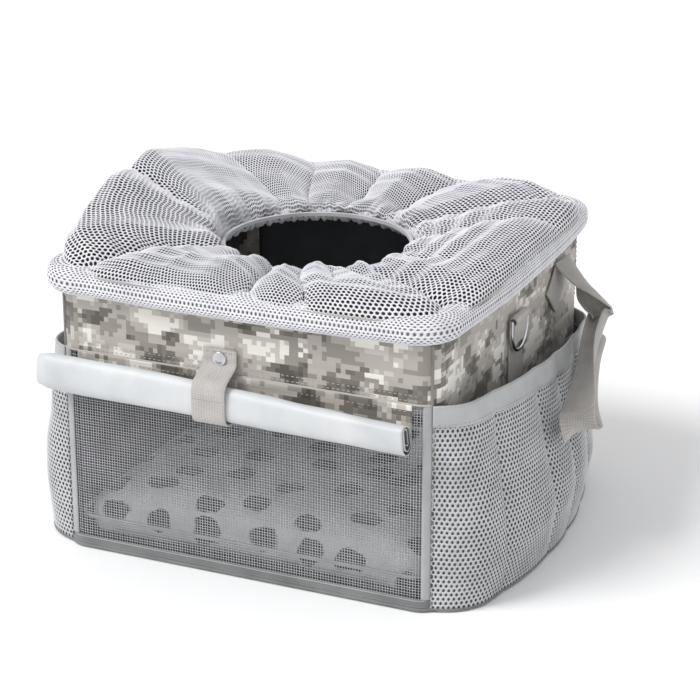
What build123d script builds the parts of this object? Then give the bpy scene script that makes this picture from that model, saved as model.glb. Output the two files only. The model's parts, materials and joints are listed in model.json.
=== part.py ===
"""Soft basket with mesh windows and pockets that carries a small pet on a bicycle's handlebar.

Millimetres, +Z up. The origin is the centre of the flat underside. The window faces -Y, and the
handlebar straps are on the +Y side. Each named piece is written to its own STEP file.
"""
import math
import os

from build123d import *

os.makedirs("parts", exist_ok=True)

# Body
body_width = 340.0
body_depth = 350.0
wall_top = 230.0
corner_radius = 18.0
cloth = 1.6
board = 3.0
board_top_margin = 4.0
board_end_margin = 1.0
fit_gap = 0.3
base_board_gap = 0.5

# Front window
band_height = 50.0
sill_height = 11.0
net_thickness = 1.2
net_columns = 20
net_rows = 14
net_strand = 1.8

# Floor pad
pad_height = 48.0
pad_crown = 6.0
pad_gap = 2.0
pad_draw_in = 4.0
pad_corner_radius = 18.0
pad_edge_radius = 12.0

# Padded rim with its steel wire
rim_height = 24.0
rim_thickness = 24.0
rim_overhang_side = 18.0
rim_overhang_front = 17.0
rim_bow = 7.0
rim_corner_radius = 46.0
rim_outer_round = 9.0
wire_diameter = 4.0
wire_inset = 20.0
wire_round_share = 0.9

# Gathered top cover
cover_cloth = 2.5
cover_inset = 10.0
cover_folds = 20
cover_corner_power = 6.0
mouth_radius = 84.0
mouth_shift = -25.0
mouth_drop = 3.0
fold_depth = 9.0
puff_height = 46.0
puff_shares = (0.44, 0.44, 0.42, 0.40, 0.38, 0.38, 0.38, 0.42, 0.58, 0.92,
               1.06, 0.90, 0.60, 0.46, 0.44, 0.44, 0.44, 0.44, 0.44, 0.44)
crest_run_share = 0.42
knee_shares = (0.10, 0.62)
brow_shares = (0.76, 0.66)
inner_knee_shares = (0.75, 0.65)
inner_brow_shares = (0.4, 0.9)
hem_width = 7.0
hem_height = 9.0
hem_cloth = 1.5
elastic_width = 3.0

# Side pockets
pocket_cloth = 1.5
pocket_foot_bulge = 46.0
pocket_belly_bulge = 54.0
pocket_chest_bulge = 42.0
pocket_hem_bulge = 22.0
pocket_belly_height = 48.0
pocket_chest_height_share = 0.6
pocket_hem_width = 18.0
pocket_hem_slope = 4.9
pocket_overrun = 12.0
shoulder_run_shares = (0.10, 0.84)
shoulder_out_shares = (0.66, 0.60)
belly_run_share = 0.55
shoulder_sag_share = 0.12

# Lifting rings on the sides
ring_wire = 3.6
ring_round = 1.5
ring_inner_width = 33.5
ring_leg = 8.0
ring_bar_drop = 31.0
ring_tab_width = 32.0
ring_tab_thickness = 2.0
ring_tab_length = 59.0
ring_bar_gap = 0.5

# Side straps
strap_width = 34.0
strap_thickness = 2.0
strap_anchor_drop = 34.0
strap_anchor_back = 62.0
strap_anchor_lean = 34.0
strap_reach = 44.0
strap_fall = 54.0
strap_advance = 3.0
strap_drop = 55.0
strap_sweep = 135.0
strap_face_angle = 24.0
strap_sweep_angle = 10.0
strap_rim_gap = 8.0
strap_start_drop = 6.0

# Rolled window flap
flap_cloth = 1.8
flap_side_margin = 2.0
flap_roll_extra = 34.0
flap_roll_shift = -16.0
flap_roll_depth = 20.0
flap_roll_height = 34.0
flap_roll_gap = 0.6
flap_half_turns = 4
flap_strip_thickness = 1.2
flap_strip_length = 20.0
flap_hinge_gap = 0.8
flap_roll_drop = 1.5
flap_roll_tilt = 1.2

# Snap strap that holds the roll up
snap_strap_width = 30.0
snap_strap_thickness = 1.8
snap_strap_shift = -17.0
snap_strap_front_top = 14.0
snap_tab_top = 22.0
snap_tab_lean_share = 0.35
snap_height = 14.0
snap_cap_radius = 6.3
snap_cap_thickness = 2.2
snap_cap_round = 1.6
snap_stud_radius = 5.0
snap_stud_thickness = 1.5

# Straps to the handlebar and to the head tube
bar_radius = 15.9
bar_strap_thickness = 2.5
bar_strap_width = 30.0
bar_strap_spacing = 150.0
bar_drop = 26.0
bar_patch_height = 62.0
bar_patch_width = 44.0
bar_root_height = 26.0
tube_radius = 22.0
tube_strap_width = 28.0
tube_strap_height = 62.0
tube_patch_width = 70.0

# Places that follow from the sizes above
half_width = body_width / 2
half_depth = body_depth / 2
corner_x = half_width - corner_radius
corner_y = half_depth - corner_radius
band_bottom = wall_top - band_height
rim_half_width = half_width + rim_overhang_side
rim_half_depth = half_depth + rim_overhang_front
rim_top = wall_top + rim_height
mouth_z = rim_top - mouth_drop
front_y = -half_depth
ring_bar_z = wall_top - ring_bar_drop
bar_height = wall_top - bar_drop
flap_width = 2 * (corner_x - flap_side_margin)
flap_roll_length = flap_width + flap_roll_extra
flap_hinge_y = front_y - flap_hinge_gap - flap_strip_thickness / 2
flap_hinge_z = band_bottom + flap_hinge_gap
roll_back_y = flap_hinge_y - flap_strip_thickness / 2 - snap_strap_thickness - 2 * fit_gap
roll_center_y = roll_back_y - flap_roll_depth / 2
roll_center_z = band_bottom - flap_roll_drop - flap_roll_height / 2


def block(x_low, x_high, y_low, y_high, z_low, z_high):
    """Box between two corners."""
    center = ((x_low + x_high) / 2, (y_low + y_high) / 2, (z_low + z_high) / 2)
    return Pos(*center) * Box(x_high - x_low, y_high - y_low, z_high - z_low)


def rounded_block(width, depth, radius, z_low, z_high, center_y=0):
    """Upright prism on a rounded rectangle."""
    return extrude(Pos(0, center_y, z_low) * RectangleRounded(width, depth, radius), z_high - z_low)


def wall_ring(thickness, z_low, z_high):
    """Ring of cloth round the body."""
    outer = rounded_block(body_width, body_depth, corner_radius, z_low, z_high)
    inner = rounded_block(body_width - 2 * thickness, body_depth - 2 * thickness,
                          corner_radius - thickness, z_low, z_high)
    return outer - inner


def sector(points):
    """Tall prism that cuts one side out of a ring; its edges run through the corners at 45 degrees."""
    return extrude(make_face(Polyline(*points, close=True)), rim_top)


def front_sector(sign=-1):
    """Sector of the front (-1) or the back (1)."""
    reach = body_width
    return sector([(-corner_x, sign * corner_y), (corner_x, sign * corner_y),
                   (corner_x + reach, sign * (corner_y + reach)),
                   (-corner_x - reach, sign * (corner_y + reach))])


def side_sector():
    """Sector of the right side."""
    reach = body_width
    return sector([(corner_x, -corner_y), (corner_x + reach, -corner_y - reach),
                   (corner_x + reach, corner_y + reach), (corner_x, corner_y)])


def mirrored(shape):
    """The left one of a pair."""
    return mirror(shape, Plane.YZ)


def level_edges(shape):
    """Edges that run more level than upright."""
    return shape.edges().filter_by(lambda edge: abs(edge.tangent_at(0.5).Z) < 0.5)


def ribbon(stations, width, thickness):
    """Flat strap through stations of (centre, width direction, normal), ruled between them."""
    sections = []
    for center, across, normal in stations:
        c, a, n = Vector(*center), Vector(*across).normalized(), Vector(*normal).normalized()
        corners = [c + a * (sa * width / 2) + n * (sn * thickness / 2)
                   for sa, sn in ((-1, -1), (1, -1), (1, 1), (-1, 1))]
        sections.append(Polyline(*corners, close=True).wire())
    return Solid.make_loft(sections, ruled=True)


def base():
    """Cloth underside, and the stiff board that lies on it."""
    panel = rounded_block(body_width, body_depth, corner_radius, 0, cloth)
    front = front_y + cloth + base_board_gap
    back = half_depth - cloth - board - base_board_gap
    width = body_width - 2 * (cloth + board + base_board_gap)
    stiffener = rounded_block(width, back - front, corner_radius - cloth, cloth, cloth + board,
                              (front + back) / 2)
    return {"base_panel": panel, "base_board": stiffener}


def walls():
    """Cloth walls with their boards, and the band above the window."""
    ring = wall_ring(cloth, cloth, wall_top)
    side = ring & side_sector()
    back = ring & front_sector(1)
    band = wall_ring(cloth, band_bottom, wall_top) & front_sector()
    board_top = wall_top - board_top_margin
    board_y = corner_y - board_end_margin
    board_x = corner_x - board_end_margin
    side_board = block(half_width - cloth - board, half_width - cloth, -board_y, board_y, cloth, board_top)
    back_board = block(-board_x, board_x, half_depth - cloth - board, half_depth - cloth, cloth, board_top)
    band_board = block(-board_x, board_x, front_y + cloth, front_y + cloth + board,
                       band_bottom + board_top_margin, board_top)
    return {"right_wall": side, "left_wall": mirrored(side), "back_wall": back,
            "right_board": side_board, "left_board": mirrored(side_board), "back_board": back_board,
            "front_band": band, "front_band_board": band_board}


def window():
    """Net window with the bindings that hold its edges."""
    sill = wall_ring(cloth, cloth, sill_height) & front_sector()
    frame = wall_ring(cloth, sill_height, band_bottom) & front_sector()
    binding = frame & block(corner_x, half_width, front_y, -corner_y, 0, wall_top)
    net = block(-corner_x, corner_x, front_y, front_y + net_thickness, sill_height, band_bottom)
    pitch_x = 2 * corner_x / net_columns
    pitch_z = (band_bottom - sill_height) / net_rows
    hole = Box(pitch_x - net_strand, 2 * net_thickness, pitch_z - net_strand)
    holes = [Pos(-corner_x + (column + 0.5) * pitch_x, front_y + net_thickness / 2,
                 sill_height + (row + 0.5) * pitch_z) * hole
             for column in range(net_columns) for row in range(net_rows)]
    return {"front_sill": sill, "window_binding_right": binding,
            "window_binding_left": mirrored(binding), "window_net": net - holes}


def drawn_in_outline(half_x, half_y, radius, draw):
    """Outline whose corners stand out and whose sides are drawn in."""
    cx, cy = half_x - radius, half_y - radius
    lean = radius * math.sqrt(0.5)
    edges = []
    for sx, sy in ((1, -1), (1, 1), (-1, 1), (-1, -1)):
        ends = [(sx * half_x, sy * cy), (sx * cx, sy * half_y)]
        if sx * sy < 0:
            ends.reverse()
        edges.append(ThreePointArc(ends[0], (sx * (cx + lean), sy * (cy + lean)), ends[1]))
    edges.append(ThreePointArc((half_x, -cy), (half_x - draw, 0), (half_x, cy)))
    edges.append(ThreePointArc((cx, half_y), (0, half_y - draw), (-cx, half_y)))
    edges.append(ThreePointArc((-half_x, cy), (draw - half_x, 0), (-half_x, -cy)))
    edges.append(ThreePointArc((-cx, -half_y), (0, draw - half_y), (cx, -half_y)))
    return make_face(edges)


def floor_pad():
    """Thick plush cushion with a crown and drawn-in sides."""
    front = front_y + cloth + pad_gap
    back = half_depth - cloth - board - pad_gap
    half_x = half_width - cloth - board - pad_gap
    half_y = (back - front) / 2
    low = cloth + board + fit_gap
    prism = extrude(Pos(0, 0, low) * drawn_in_outline(half_x, half_y, pad_corner_radius, pad_draw_in),
                    pad_height)
    reach = half_x + half_y
    crown_radius = (reach ** 2 / 4 + pad_crown ** 2) / (2 * pad_crown)
    dome = Pos(0, 0, low + pad_height - crown_radius) * Sphere(crown_radius)
    cushion = prism & dome
    rims = [edge for edge in level_edges(cushion)
            if edge.center().Z > low + pad_height / 2 and edge.length > pad_height / 4]
    cushion = fillet(rims, pad_edge_radius)
    feet = cushion.faces().sort_by(Axis.Z)[0].edges()
    cushion = fillet(feet, pad_edge_radius / 2)
    return {"floor_pad": Pos(0, (front + back) / 2, 0) * cushion}


def bowed_face(half_x, half_y, radius, bow, z):
    """Rounded rectangle whose sides bow outwards."""
    cx, cy = half_x - bow - radius, half_y - bow - radius
    lean = radius * math.sqrt(0.5)
    edges = []
    for sx, sy in ((1, -1), (1, 1), (-1, 1), (-1, -1)):
        ends = [(sx * (half_x - bow), sy * cy), (sx * cx, sy * (half_y - bow))]
        if sx * sy < 0:
            ends.reverse()
        edges.append(ThreePointArc(ends[0], (sx * (cx + lean), sy * (cy + lean)), ends[1]))
    edges.append(ThreePointArc((half_x - bow, -cy), (half_x, 0), (half_x - bow, cy)))
    edges.append(ThreePointArc((cx, half_y - bow), (0, half_y), (-cx, half_y - bow)))
    edges.append(ThreePointArc((bow - half_x, cy), (-half_x, 0), (bow - half_x, -cy)))
    edges.append(ThreePointArc((-cx, bow - half_y), (0, -half_y), (cx, bow - half_y)))
    return Pos(0, 0, z) * make_face(edges)


def rim():
    """Padded roll on top of the walls, over a steel wire that lies in a groove of its underside."""
    def prism(inset):
        return extrude(bowed_face(rim_half_width - inset, rim_half_depth - inset,
                                  rim_corner_radius - inset, rim_bow, wall_top), rim_height)

    outer = prism(0)
    outer = fillet(outer.faces().sort_by(Axis.Z)[-1].edges(), rim_outer_round)
    outer = fillet(outer.faces().sort_by(Axis.Z)[0].edges(), rim_outer_round)
    roll = outer - prism(rim_thickness)
    wire_width = 2 * (rim_half_width - wire_inset)
    wire_depth = 2 * (rim_half_depth - wire_inset)
    wire_corner = rim_corner_radius + rim_bow - wire_inset
    half = wire_diameter / 2

    def frame(grow, z_low, z_high):
        return rounded_block(wire_width + 2 * grow, wire_depth + 2 * grow, wire_corner + grow,
                             z_low, z_high)

    def loop(grow, z_low, z_high):
        return frame(grow, z_low, z_high) - frame(-grow, z_low, z_high)

    roll = roll - loop(half + fit_gap, wall_top, wall_top + wire_diameter + 2 * fit_gap)
    wire = loop(half, wall_top + fit_gap, wall_top + fit_gap + wire_diameter)
    wire = fillet(level_edges(wire), half * wire_round_share)
    return {"rim_roll": roll, "rim_wire": wire}


def rim_point(turn):
    """Point on the rim's top, at a share of a full turn, where the cover is sewn on."""
    angle = 2 * math.pi * turn
    c, s = math.cos(angle), math.sin(angle)
    a, b = rim_half_width - cover_inset, rim_half_depth - cover_inset
    k = (abs(c) ** cover_corner_power + abs(s) ** cover_corner_power) ** (-1 / cover_corner_power)
    return Vector(a * c * k, b * s * k, rim_top + fit_gap)


def cover_section(turn, peak):
    """Cut through the cover from the rim to the mouth, where its cloth rises to the given peak."""
    angle = 2 * math.pi * turn
    foot = rim_point(turn)
    mouth = Vector(mouth_radius * math.cos(angle), mouth_shift + mouth_radius * math.sin(angle), mouth_z)
    inward = Vector(mouth.X - foot.X, mouth.Y - foot.Y, 0)
    run = inward.length
    inward = inward.normalized()
    up = Vector(0, 0, 1)

    def risen(run_share, peak_share):
        return foot + inward * (run * run_share) + up * (peak * peak_share)

    top, knee, brow = risen(crest_run_share, 1), risen(*knee_shares), risen(*brow_shares)
    outer = [ThreePointArc(foot, knee, top), ThreePointArc(top, brow, mouth)]
    inner_knee, inner_brow = (Vector(*shares) * cover_cloth for shares in (inner_knee_shares, inner_brow_shares))
    low_foot, low_top, low_mouth = foot + inward * cover_cloth, top - up * cover_cloth, mouth - up * cover_cloth
    low_knee = knee + inward * inner_knee.X - up * inner_knee.Y
    low_brow = brow - inward * inner_brow.X - up * inner_brow.Y
    inner = [ThreePointArc(low_mouth, low_brow, low_top), ThreePointArc(low_top, low_knee, low_foot)]
    return Wire(outer + [Line(mouth, low_mouth)] + inner + [Line(low_foot, foot)])


def top_cover():
    """Mesh cover whose cloth is gathered in folds from the rim to the mouth, with its elastic hem."""
    pieces = []
    for i in range(cover_folds):
        heights = [puff_height * puff_shares[j % len(puff_shares)] for j in (i, i + 1)]
        valley_now, valley_next = (h - fold_depth for h in heights)
        crest = sum(heights) / 2
        sections = [cover_section(i / cover_folds, valley_now),
                    cover_section((i + 0.5) / cover_folds, crest),
                    cover_section((i + 1) / cover_folds, valley_next)]
        pieces.append(Solid.make_loft(sections, ruled=False))
    cover = pieces[0].fuse(*pieces[1:])

    def loop(outer_radius, inner_radius, z_low, z_high):
        ring = Cylinder(outer_radius, z_high - z_low) - Cylinder(inner_radius, z_high - z_low)
        return Pos(0, mouth_shift, (z_low + z_high) / 2) * ring

    hem_outer = mouth_radius - 2 * fit_gap
    hem_top = mouth_z + hem_cloth
    hem = loop(hem_outer, hem_outer - hem_width, hem_top - hem_height, hem_top)
    hem -= loop(hem_outer - hem_cloth, hem_outer - hem_width + hem_cloth,
                hem_top - hem_height, hem_top - hem_cloth)
    middle = hem_outer - hem_width / 2
    elastic = loop(middle + elastic_width / 2, middle - elastic_width / 2,
                   hem_top - hem_cloth - fit_gap - elastic_width, hem_top - hem_cloth - fit_gap)
    return {"top_cover": cover, "cover_hem": hem, "cover_elastic": elastic}


def pocket_outline(bulge, inset):
    """Path of the right pocket's cloth in plan, from the front corner to the rear corner."""
    lean = (corner_radius + fit_gap) * math.sqrt(0.5)
    slide = inset * math.sqrt(0.5)
    front = Vector(corner_x + lean + slide, -corner_y - lean + slide)
    back = Vector(corner_x + lean + slide, corner_y + lean - slide)
    out_front, out_back = (half_width + bulge * share - inset for share in shoulder_out_shares)
    run_front, run_back = (front_y + body_depth * share for share in shoulder_run_shares)
    shoulder = Vector(out_front, run_front + inset / 2)
    hip = Vector(out_back, run_back - inset / 2)
    belly = Vector(half_width + bulge - inset, front_y + body_depth * belly_run_share)

    def bent(start, end):
        chord = end - start
        side = Vector(chord.Y, -chord.X)
        return ThreePointArc(start, (start + end) * 0.5 + side * shoulder_sag_share, end)

    return [bent(front, shoulder), ThreePointArc(shoulder, belly, hip), bent(hip, back)], front, back


def pocket_section(z, bulge):
    """Closed cut through the pocket's cloth at one height."""
    outer, front, back = pocket_outline(bulge, 0)
    inner, low_front, low_back = pocket_outline(bulge, pocket_cloth)
    edges = outer + inner + [Line(front, low_front), Line(back, low_back)]
    return Pos(0, 0, z) * Wire(edges)


def hem_cutter(drop):
    """Everything below the pocket's sloping hem line, lowered by a drop."""
    size = 2 * body_depth
    lid = Pos(0, front_y, band_bottom - drop) * Rot(X=-pocket_hem_slope) * Pos(0, 0, -size / 2)
    return lid * Box(size, 2 * size, size)


def pockets():
    """Pouch of mesh on each side, with its hem and its floor."""
    heights = [(cloth, pocket_foot_bulge), (pocket_belly_height, pocket_belly_bulge),
               (band_bottom * pocket_chest_height_share, pocket_chest_bulge),
               (band_bottom + pocket_overrun, pocket_hem_bulge)]
    shell = Solid.make_loft([pocket_section(z, bulge) for z, bulge in heights], ruled=False)
    below_top = shell & hem_cutter(0)
    mesh = below_top & hem_cutter(pocket_hem_width)
    hem = below_top - hem_cutter(pocket_hem_width)
    outer, front, back = pocket_outline(pocket_foot_bulge, 0)
    floor = extrude(make_face(outer + [Line(front, back)]), cloth)
    floor -= rounded_block(body_width + 2 * fit_gap, body_depth + 2 * fit_gap,
                           corner_radius + fit_gap, 0, cloth)
    right = {"pocket_mesh_right": mesh, "pocket_hem_right": hem, "pocket_floor_right": floor}
    left = {name.replace("right", "left"): mirrored(shape) for name, shape in right.items()}
    return right | left


def d_face(width, leg):
    """D outline in the YZ plane, with its bar at the top."""
    half = width / 2
    lean = half * math.sqrt(0.5)
    points = [Line((-half, 0), (half, 0)), Line((half, 0), (half, -leg)),
              ThreePointArc((half, -leg), (lean, -leg - lean), (0, -leg - half)),
              ThreePointArc((0, -leg - half), (-lean, -leg - lean), (-half, -leg)),
              Line((-half, -leg), (-half, 0))]
    return make_face(points)


def side_rings():
    """Steel D ring in a webbing tab on each side."""
    outer = Pos(0, ring_wire) * d_face(ring_inner_width + 2 * ring_wire, ring_leg + ring_wire)
    flat = outer - d_face(ring_inner_width, ring_leg)
    ring = extrude(flat, ring_wire)
    ring = fillet(level_edges(ring), ring_round)
    tab_x = half_width + fit_gap
    bore = ring_wire / 2 + ring_bar_gap
    sleeve = bore + ring_tab_thickness
    bar_x = tab_x + sleeve
    ring = Plane(origin=(bar_x - ring_wire / 2, 0, ring_bar_z - ring_wire / 2),
                 x_dir=(0, 1, 0), z_dir=(1, 0, 0)) * ring
    half = ring_tab_width / 2
    bar = Pos(bar_x, 0, ring_bar_z) * Rot(X=90)
    strip = block(tab_x, tab_x + ring_tab_thickness, -half, half, ring_bar_z - ring_tab_length, ring_bar_z)
    tab = strip + bar * Cylinder(sleeve, ring_tab_width) - bar * Cylinder(bore, 2 * ring_tab_width)
    return {"side_ring_right": ring, "side_ring_left": mirrored(ring),
            "ring_tab_right": tab, "ring_tab_left": mirrored(tab)}


def side_straps():
    """Webbing sewn under the rim near the rear corners, whose free end hangs outside as a twisted loop."""
    face_x = half_width + fit_gap + strap_thickness / 2
    top_y = front_y + body_depth - strap_anchor_back
    top_z = wall_top - strap_rim_gap
    lean = Vector(0, strap_anchor_lean, strap_anchor_drop).normalized()
    across_anchor = Vector(0, lean.Z, -lean.Y)
    anchor_top = Vector(face_x, top_y, top_z - strap_width / 2)
    anchor = ribbon([(anchor_top - lean * strap_anchor_drop, across_anchor, (1, 0, 0)),
                     (anchor_top, across_anchor, (1, 0, 0))], strap_width, strap_thickness)
    face, sweep_way = math.radians(strap_face_angle), math.radians(strap_sweep_angle)
    forward = Vector(math.sin(sweep_way), -math.cos(sweep_way), 0)
    outward = Vector(math.cos(face), math.sin(face), 0)
    start = Vector(face_x + strap_thickness + fit_gap, top_y, top_z - strap_start_drop)
    knot = Vector(half_width + strap_reach, top_y - strap_advance, top_z - strap_fall)
    fall_shares = [(0.0, 0.0, 0.0), (0.35, 0.20, 0.2), (0.72, 0.55, 0.55), (0.95, 0.9, 0.85)]
    loop_shares = [(0.06, 0.06), (0.45, 0.28), (0.90, 0.64), (0.985, 0.72), (1.02, 0.82), (1.01, 0.93),
                   (0.95, 1.01), (0.86, 1.03), (0.66, 0.98), (0.46, 0.78), (0.25, 0.46), (0.10, 0.20)]
    centers, ways = [], []
    for along, down, twist in fall_shares:
        center = start + Vector((knot.X - start.X) * along, (knot.Y - start.Y) * along,
                                (knot.Z - start.Z) * down)
        centers.append(center)
        ways.append(Vector(0, 1, 0) * (1 - twist) - outward * twist)
    for sweep, down in loop_shares:
        centers.append(knot + forward * (strap_sweep * sweep) - Vector(0, 0, strap_drop * down))
        ways.append(outward * -1)
    slope = Vector(knot.X - start.X, 0, knot.Z - start.Z)
    normals = [way.cross(slope) for way in ways[:len(fall_shares)]]
    for place in range(len(fall_shares), len(centers)):
        after = centers[min(place + 1, len(centers) - 1)]
        normals.append(ways[place].cross(after - centers[place - 1]))
    free = ribbon(list(zip(centers, ways, normals)), strap_width, strap_thickness)
    return {"strap_anchor_right": anchor, "strap_anchor_left": mirrored(anchor),
            "strap_loop_right": free, "strap_loop_left": mirrored(free)}


def spiral_face():
    """Cut through the rolled flap: a flattened spiral of half turns joined by upright runs."""
    half_leg = (flap_roll_height - flap_roll_depth) / 2
    step = (flap_cloth + flap_roll_gap) / 2
    radius = (flap_roll_depth - flap_cloth) / 2
    center, sign = 0.0, 1
    sides = {1: [], -1: []}
    ends = {}
    for turn in range(flap_half_turns):
        for grow in (1, -1):
            r = radius + grow * flap_cloth / 2
            lean = r * math.sqrt(0.5)
            z = -sign * half_leg
            start, low, end = (center + sign * r, z), (center, z - sign * r), (center - sign * r, z)
            quarter_in = (center + sign * lean, z - sign * lean)
            quarter_out = (center - sign * lean, z - sign * lean)
            leg_top = (start[0], -z)
            if turn == 0:
                ends[("start", grow)] = leg_top
            sides[grow] += [Line(leg_top, start), ThreePointArc(start, quarter_in, low),
                            ThreePointArc(low, quarter_out, end)]
            ends[("end", grow)] = end
        center -= sign * step
        radius -= step
        sign = -sign
    caps = [Line(ends[(key, 1)], ends[(key, -1)]) for key in ("start", "end")]
    return make_face(sides[1] + sides[-1] + caps)


def flap():
    """Window flap, rolled up under the band and held by the snap strap."""
    along_x = Plane(origin=(0, 0, 0), x_dir=(0, 1, 0), z_dir=(1, 0, 0))
    section = along_x * spiral_face()
    roll = Pos(-flap_roll_length / 2, 0, 0) * extrude(section, flap_roll_length, dir=(1, 0, 0))
    roll = Pos(flap_roll_shift, roll_center_y, roll_center_z) * Rot(Y=flap_roll_tilt) * roll
    strip = block(-flap_width / 2, flap_width / 2, flap_hinge_y - flap_strip_thickness / 2,
                  flap_hinge_y + flap_strip_thickness / 2, band_bottom - flap_strip_length,
                  band_bottom)
    return {"flap_roll": roll, "flap_strip": strip}


def snap_strap():
    """Webbing round the roll, its tab with the snap's cap, and the stud on the band."""
    tilt_reach = abs(flap_roll_shift - snap_strap_shift) + snap_strap_width
    tilt_allowance = math.tan(math.radians(flap_roll_tilt)) * tilt_reach
    inner_depth = flap_roll_depth + 2 * fit_gap
    inner_height = flap_roll_height + 2 * (fit_gap + tilt_allowance)
    outer_depth = inner_depth + 2 * snap_strap_thickness
    outer_height = inner_height + 2 * snap_strap_thickness
    across = Plane(origin=(snap_strap_shift - snap_strap_width / 2, roll_center_y, roll_center_z),
                   x_dir=(0, 1, 0), z_dir=(1, 0, 0))
    outer = extrude(across * Rot(Z=90) * SlotOverall(outer_height, outer_depth), snap_strap_width)
    inner = extrude(across * Rot(Z=90) * SlotOverall(inner_height, inner_depth), snap_strap_width)
    front_top = band_bottom - snap_strap_front_top
    back_top = band_bottom - snap_strap_thickness
    tall = rim_top
    x_low, x_high = snap_strap_shift - snap_strap_width, snap_strap_shift + snap_strap_width
    wrap = outer - inner
    wrap -= block(x_low, x_high, roll_center_y - tall, roll_center_y, front_top, tall)
    wrap -= block(x_low, x_high, roll_center_y - inner_depth / 2, roll_center_y + tall, roll_center_z, tall)
    leg_y = roll_center_y + inner_depth / 2
    wrap += block(snap_strap_shift - snap_strap_width / 2, snap_strap_shift + snap_strap_width / 2,
                  leg_y, leg_y + snap_strap_thickness, roll_center_z, back_top)
    leg_front = roll_center_y - inner_depth / 2 - snap_strap_thickness / 2
    stud_front = front_y - snap_stud_thickness
    tab_y = stud_front - fit_gap - snap_strap_thickness / 2
    tab_points = [(leg_front, front_top + fit_gap), (leg_front, band_bottom - snap_height / 4),
                  (tab_y, band_bottom + snap_height / 2), (tab_y, band_bottom + snap_tab_top)]
    leans = (0, snap_tab_lean_share, snap_tab_lean_share, 0)
    stations = [((snap_strap_shift, y, z), (1, 0, 0), (0, -1, lean))
                for (y, z), lean in zip(tab_points, leans)]
    tab = ribbon(stations, snap_strap_width, snap_strap_thickness)
    snap_z = band_bottom + snap_height
    cap_back = tab_y - snap_strap_thickness / 2
    cap = Pos(snap_strap_shift, cap_back - snap_cap_thickness / 2, snap_z) * Rot(X=90) * Cylinder(
        snap_cap_radius, snap_cap_thickness)
    cap = fillet(cap.edges().sort_by(Axis.Y)[0], snap_cap_round)
    stud = Pos(snap_strap_shift, front_y - snap_stud_thickness / 2, snap_z) * Rot(X=90) * Cylinder(
        snap_stud_radius, snap_stud_thickness)
    return {"snap_strap": wrap, "snap_tab": tab, "snap_cap": cap, "snap_stud": stud}


def bar_straps():
    """Straps that close round the handlebar, and the one round the head tube below."""
    nodes = {}
    patch_back = half_depth + bar_strap_thickness
    outer_radius = bar_radius + bar_strap_thickness
    bar_y = patch_back + bar_strap_thickness / 2 + outer_radius
    for name, sign in (("left", -1), ("right", 1)):
        x = sign * bar_strap_spacing / 2
        patch = block(x - bar_patch_width / 2, x + bar_patch_width / 2, half_depth, patch_back,
                      bar_height - bar_patch_height / 2, bar_height + bar_root_height / 2)
        loop = Pos(x, bar_y, bar_height) * Rot(Y=90) * Cylinder(outer_radius, bar_strap_width)
        root = block(x - bar_strap_width / 2, x + bar_strap_width / 2, patch_back,
                     patch_back + bar_strap_thickness, bar_height - bar_root_height / 2,
                     bar_height + bar_root_height / 2)
        hole = Pos(x, bar_y, bar_height) * Rot(Y=90) * Cylinder(bar_radius, 2 * bar_strap_width)
        nodes["bar_patch_" + name] = patch
        nodes["bar_strap_" + name] = loop + root - hole
    tube_outer = tube_radius + bar_strap_thickness
    tube_y = patch_back + bar_strap_thickness / 2 + tube_outer
    half = tube_strap_width / 2
    nodes["tube_patch"] = block(-tube_patch_width / 2, tube_patch_width / 2, half_depth, patch_back,
                                tube_strap_height - half, tube_strap_height + half)
    band = Pos(0, tube_y, tube_strap_height) * Cylinder(tube_outer, tube_strap_width)
    root = block(-tube_radius, tube_radius, patch_back, patch_back + bar_strap_thickness,
                 tube_strap_height - half, tube_strap_height + half)
    hole = Pos(0, tube_y, tube_strap_height) * Cylinder(tube_radius, 2 * tube_strap_width)
    nodes["tube_strap"] = band + root - hole
    return nodes


if __name__ == "__main__":
    model = {}
    for make in (base, walls, window, floor_pad, rim, top_cover, pockets, side_rings, side_straps,
                 flap, snap_strap, bar_straps):
        model.update(make())
    for node, shape in model.items():
        export_step(shape, os.path.join("parts", node + ".step"))
    print(len(model), "nodes")
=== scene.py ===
"""Looks of the soft handlebar basket: its cloth, mesh, webbing and steel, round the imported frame.

Sizes are written in millimetres, in the part's own frame, and become metres when a mesh is made.
"""

import json
import math

import bpy
import numpy as np
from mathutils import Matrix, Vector

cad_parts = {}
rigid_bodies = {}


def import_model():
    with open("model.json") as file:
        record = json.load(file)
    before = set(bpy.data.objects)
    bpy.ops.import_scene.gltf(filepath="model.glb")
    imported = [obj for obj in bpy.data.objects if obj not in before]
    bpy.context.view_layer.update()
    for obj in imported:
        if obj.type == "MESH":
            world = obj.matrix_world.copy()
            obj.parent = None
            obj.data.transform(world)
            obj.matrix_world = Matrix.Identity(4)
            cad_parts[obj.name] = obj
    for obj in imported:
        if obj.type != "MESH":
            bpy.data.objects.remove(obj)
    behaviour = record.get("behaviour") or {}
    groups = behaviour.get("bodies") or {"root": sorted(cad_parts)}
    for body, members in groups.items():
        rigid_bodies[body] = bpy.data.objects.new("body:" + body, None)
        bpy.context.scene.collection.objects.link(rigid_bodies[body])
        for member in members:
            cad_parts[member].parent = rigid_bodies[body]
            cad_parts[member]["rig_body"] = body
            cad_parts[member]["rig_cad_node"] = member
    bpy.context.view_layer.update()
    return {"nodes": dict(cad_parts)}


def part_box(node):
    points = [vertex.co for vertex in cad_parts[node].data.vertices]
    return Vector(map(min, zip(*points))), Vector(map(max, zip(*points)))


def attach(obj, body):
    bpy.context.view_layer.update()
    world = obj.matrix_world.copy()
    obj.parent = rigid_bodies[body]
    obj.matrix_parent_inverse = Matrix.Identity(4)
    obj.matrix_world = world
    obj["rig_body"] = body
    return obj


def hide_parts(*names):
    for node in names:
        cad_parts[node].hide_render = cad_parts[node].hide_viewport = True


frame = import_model()

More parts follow.
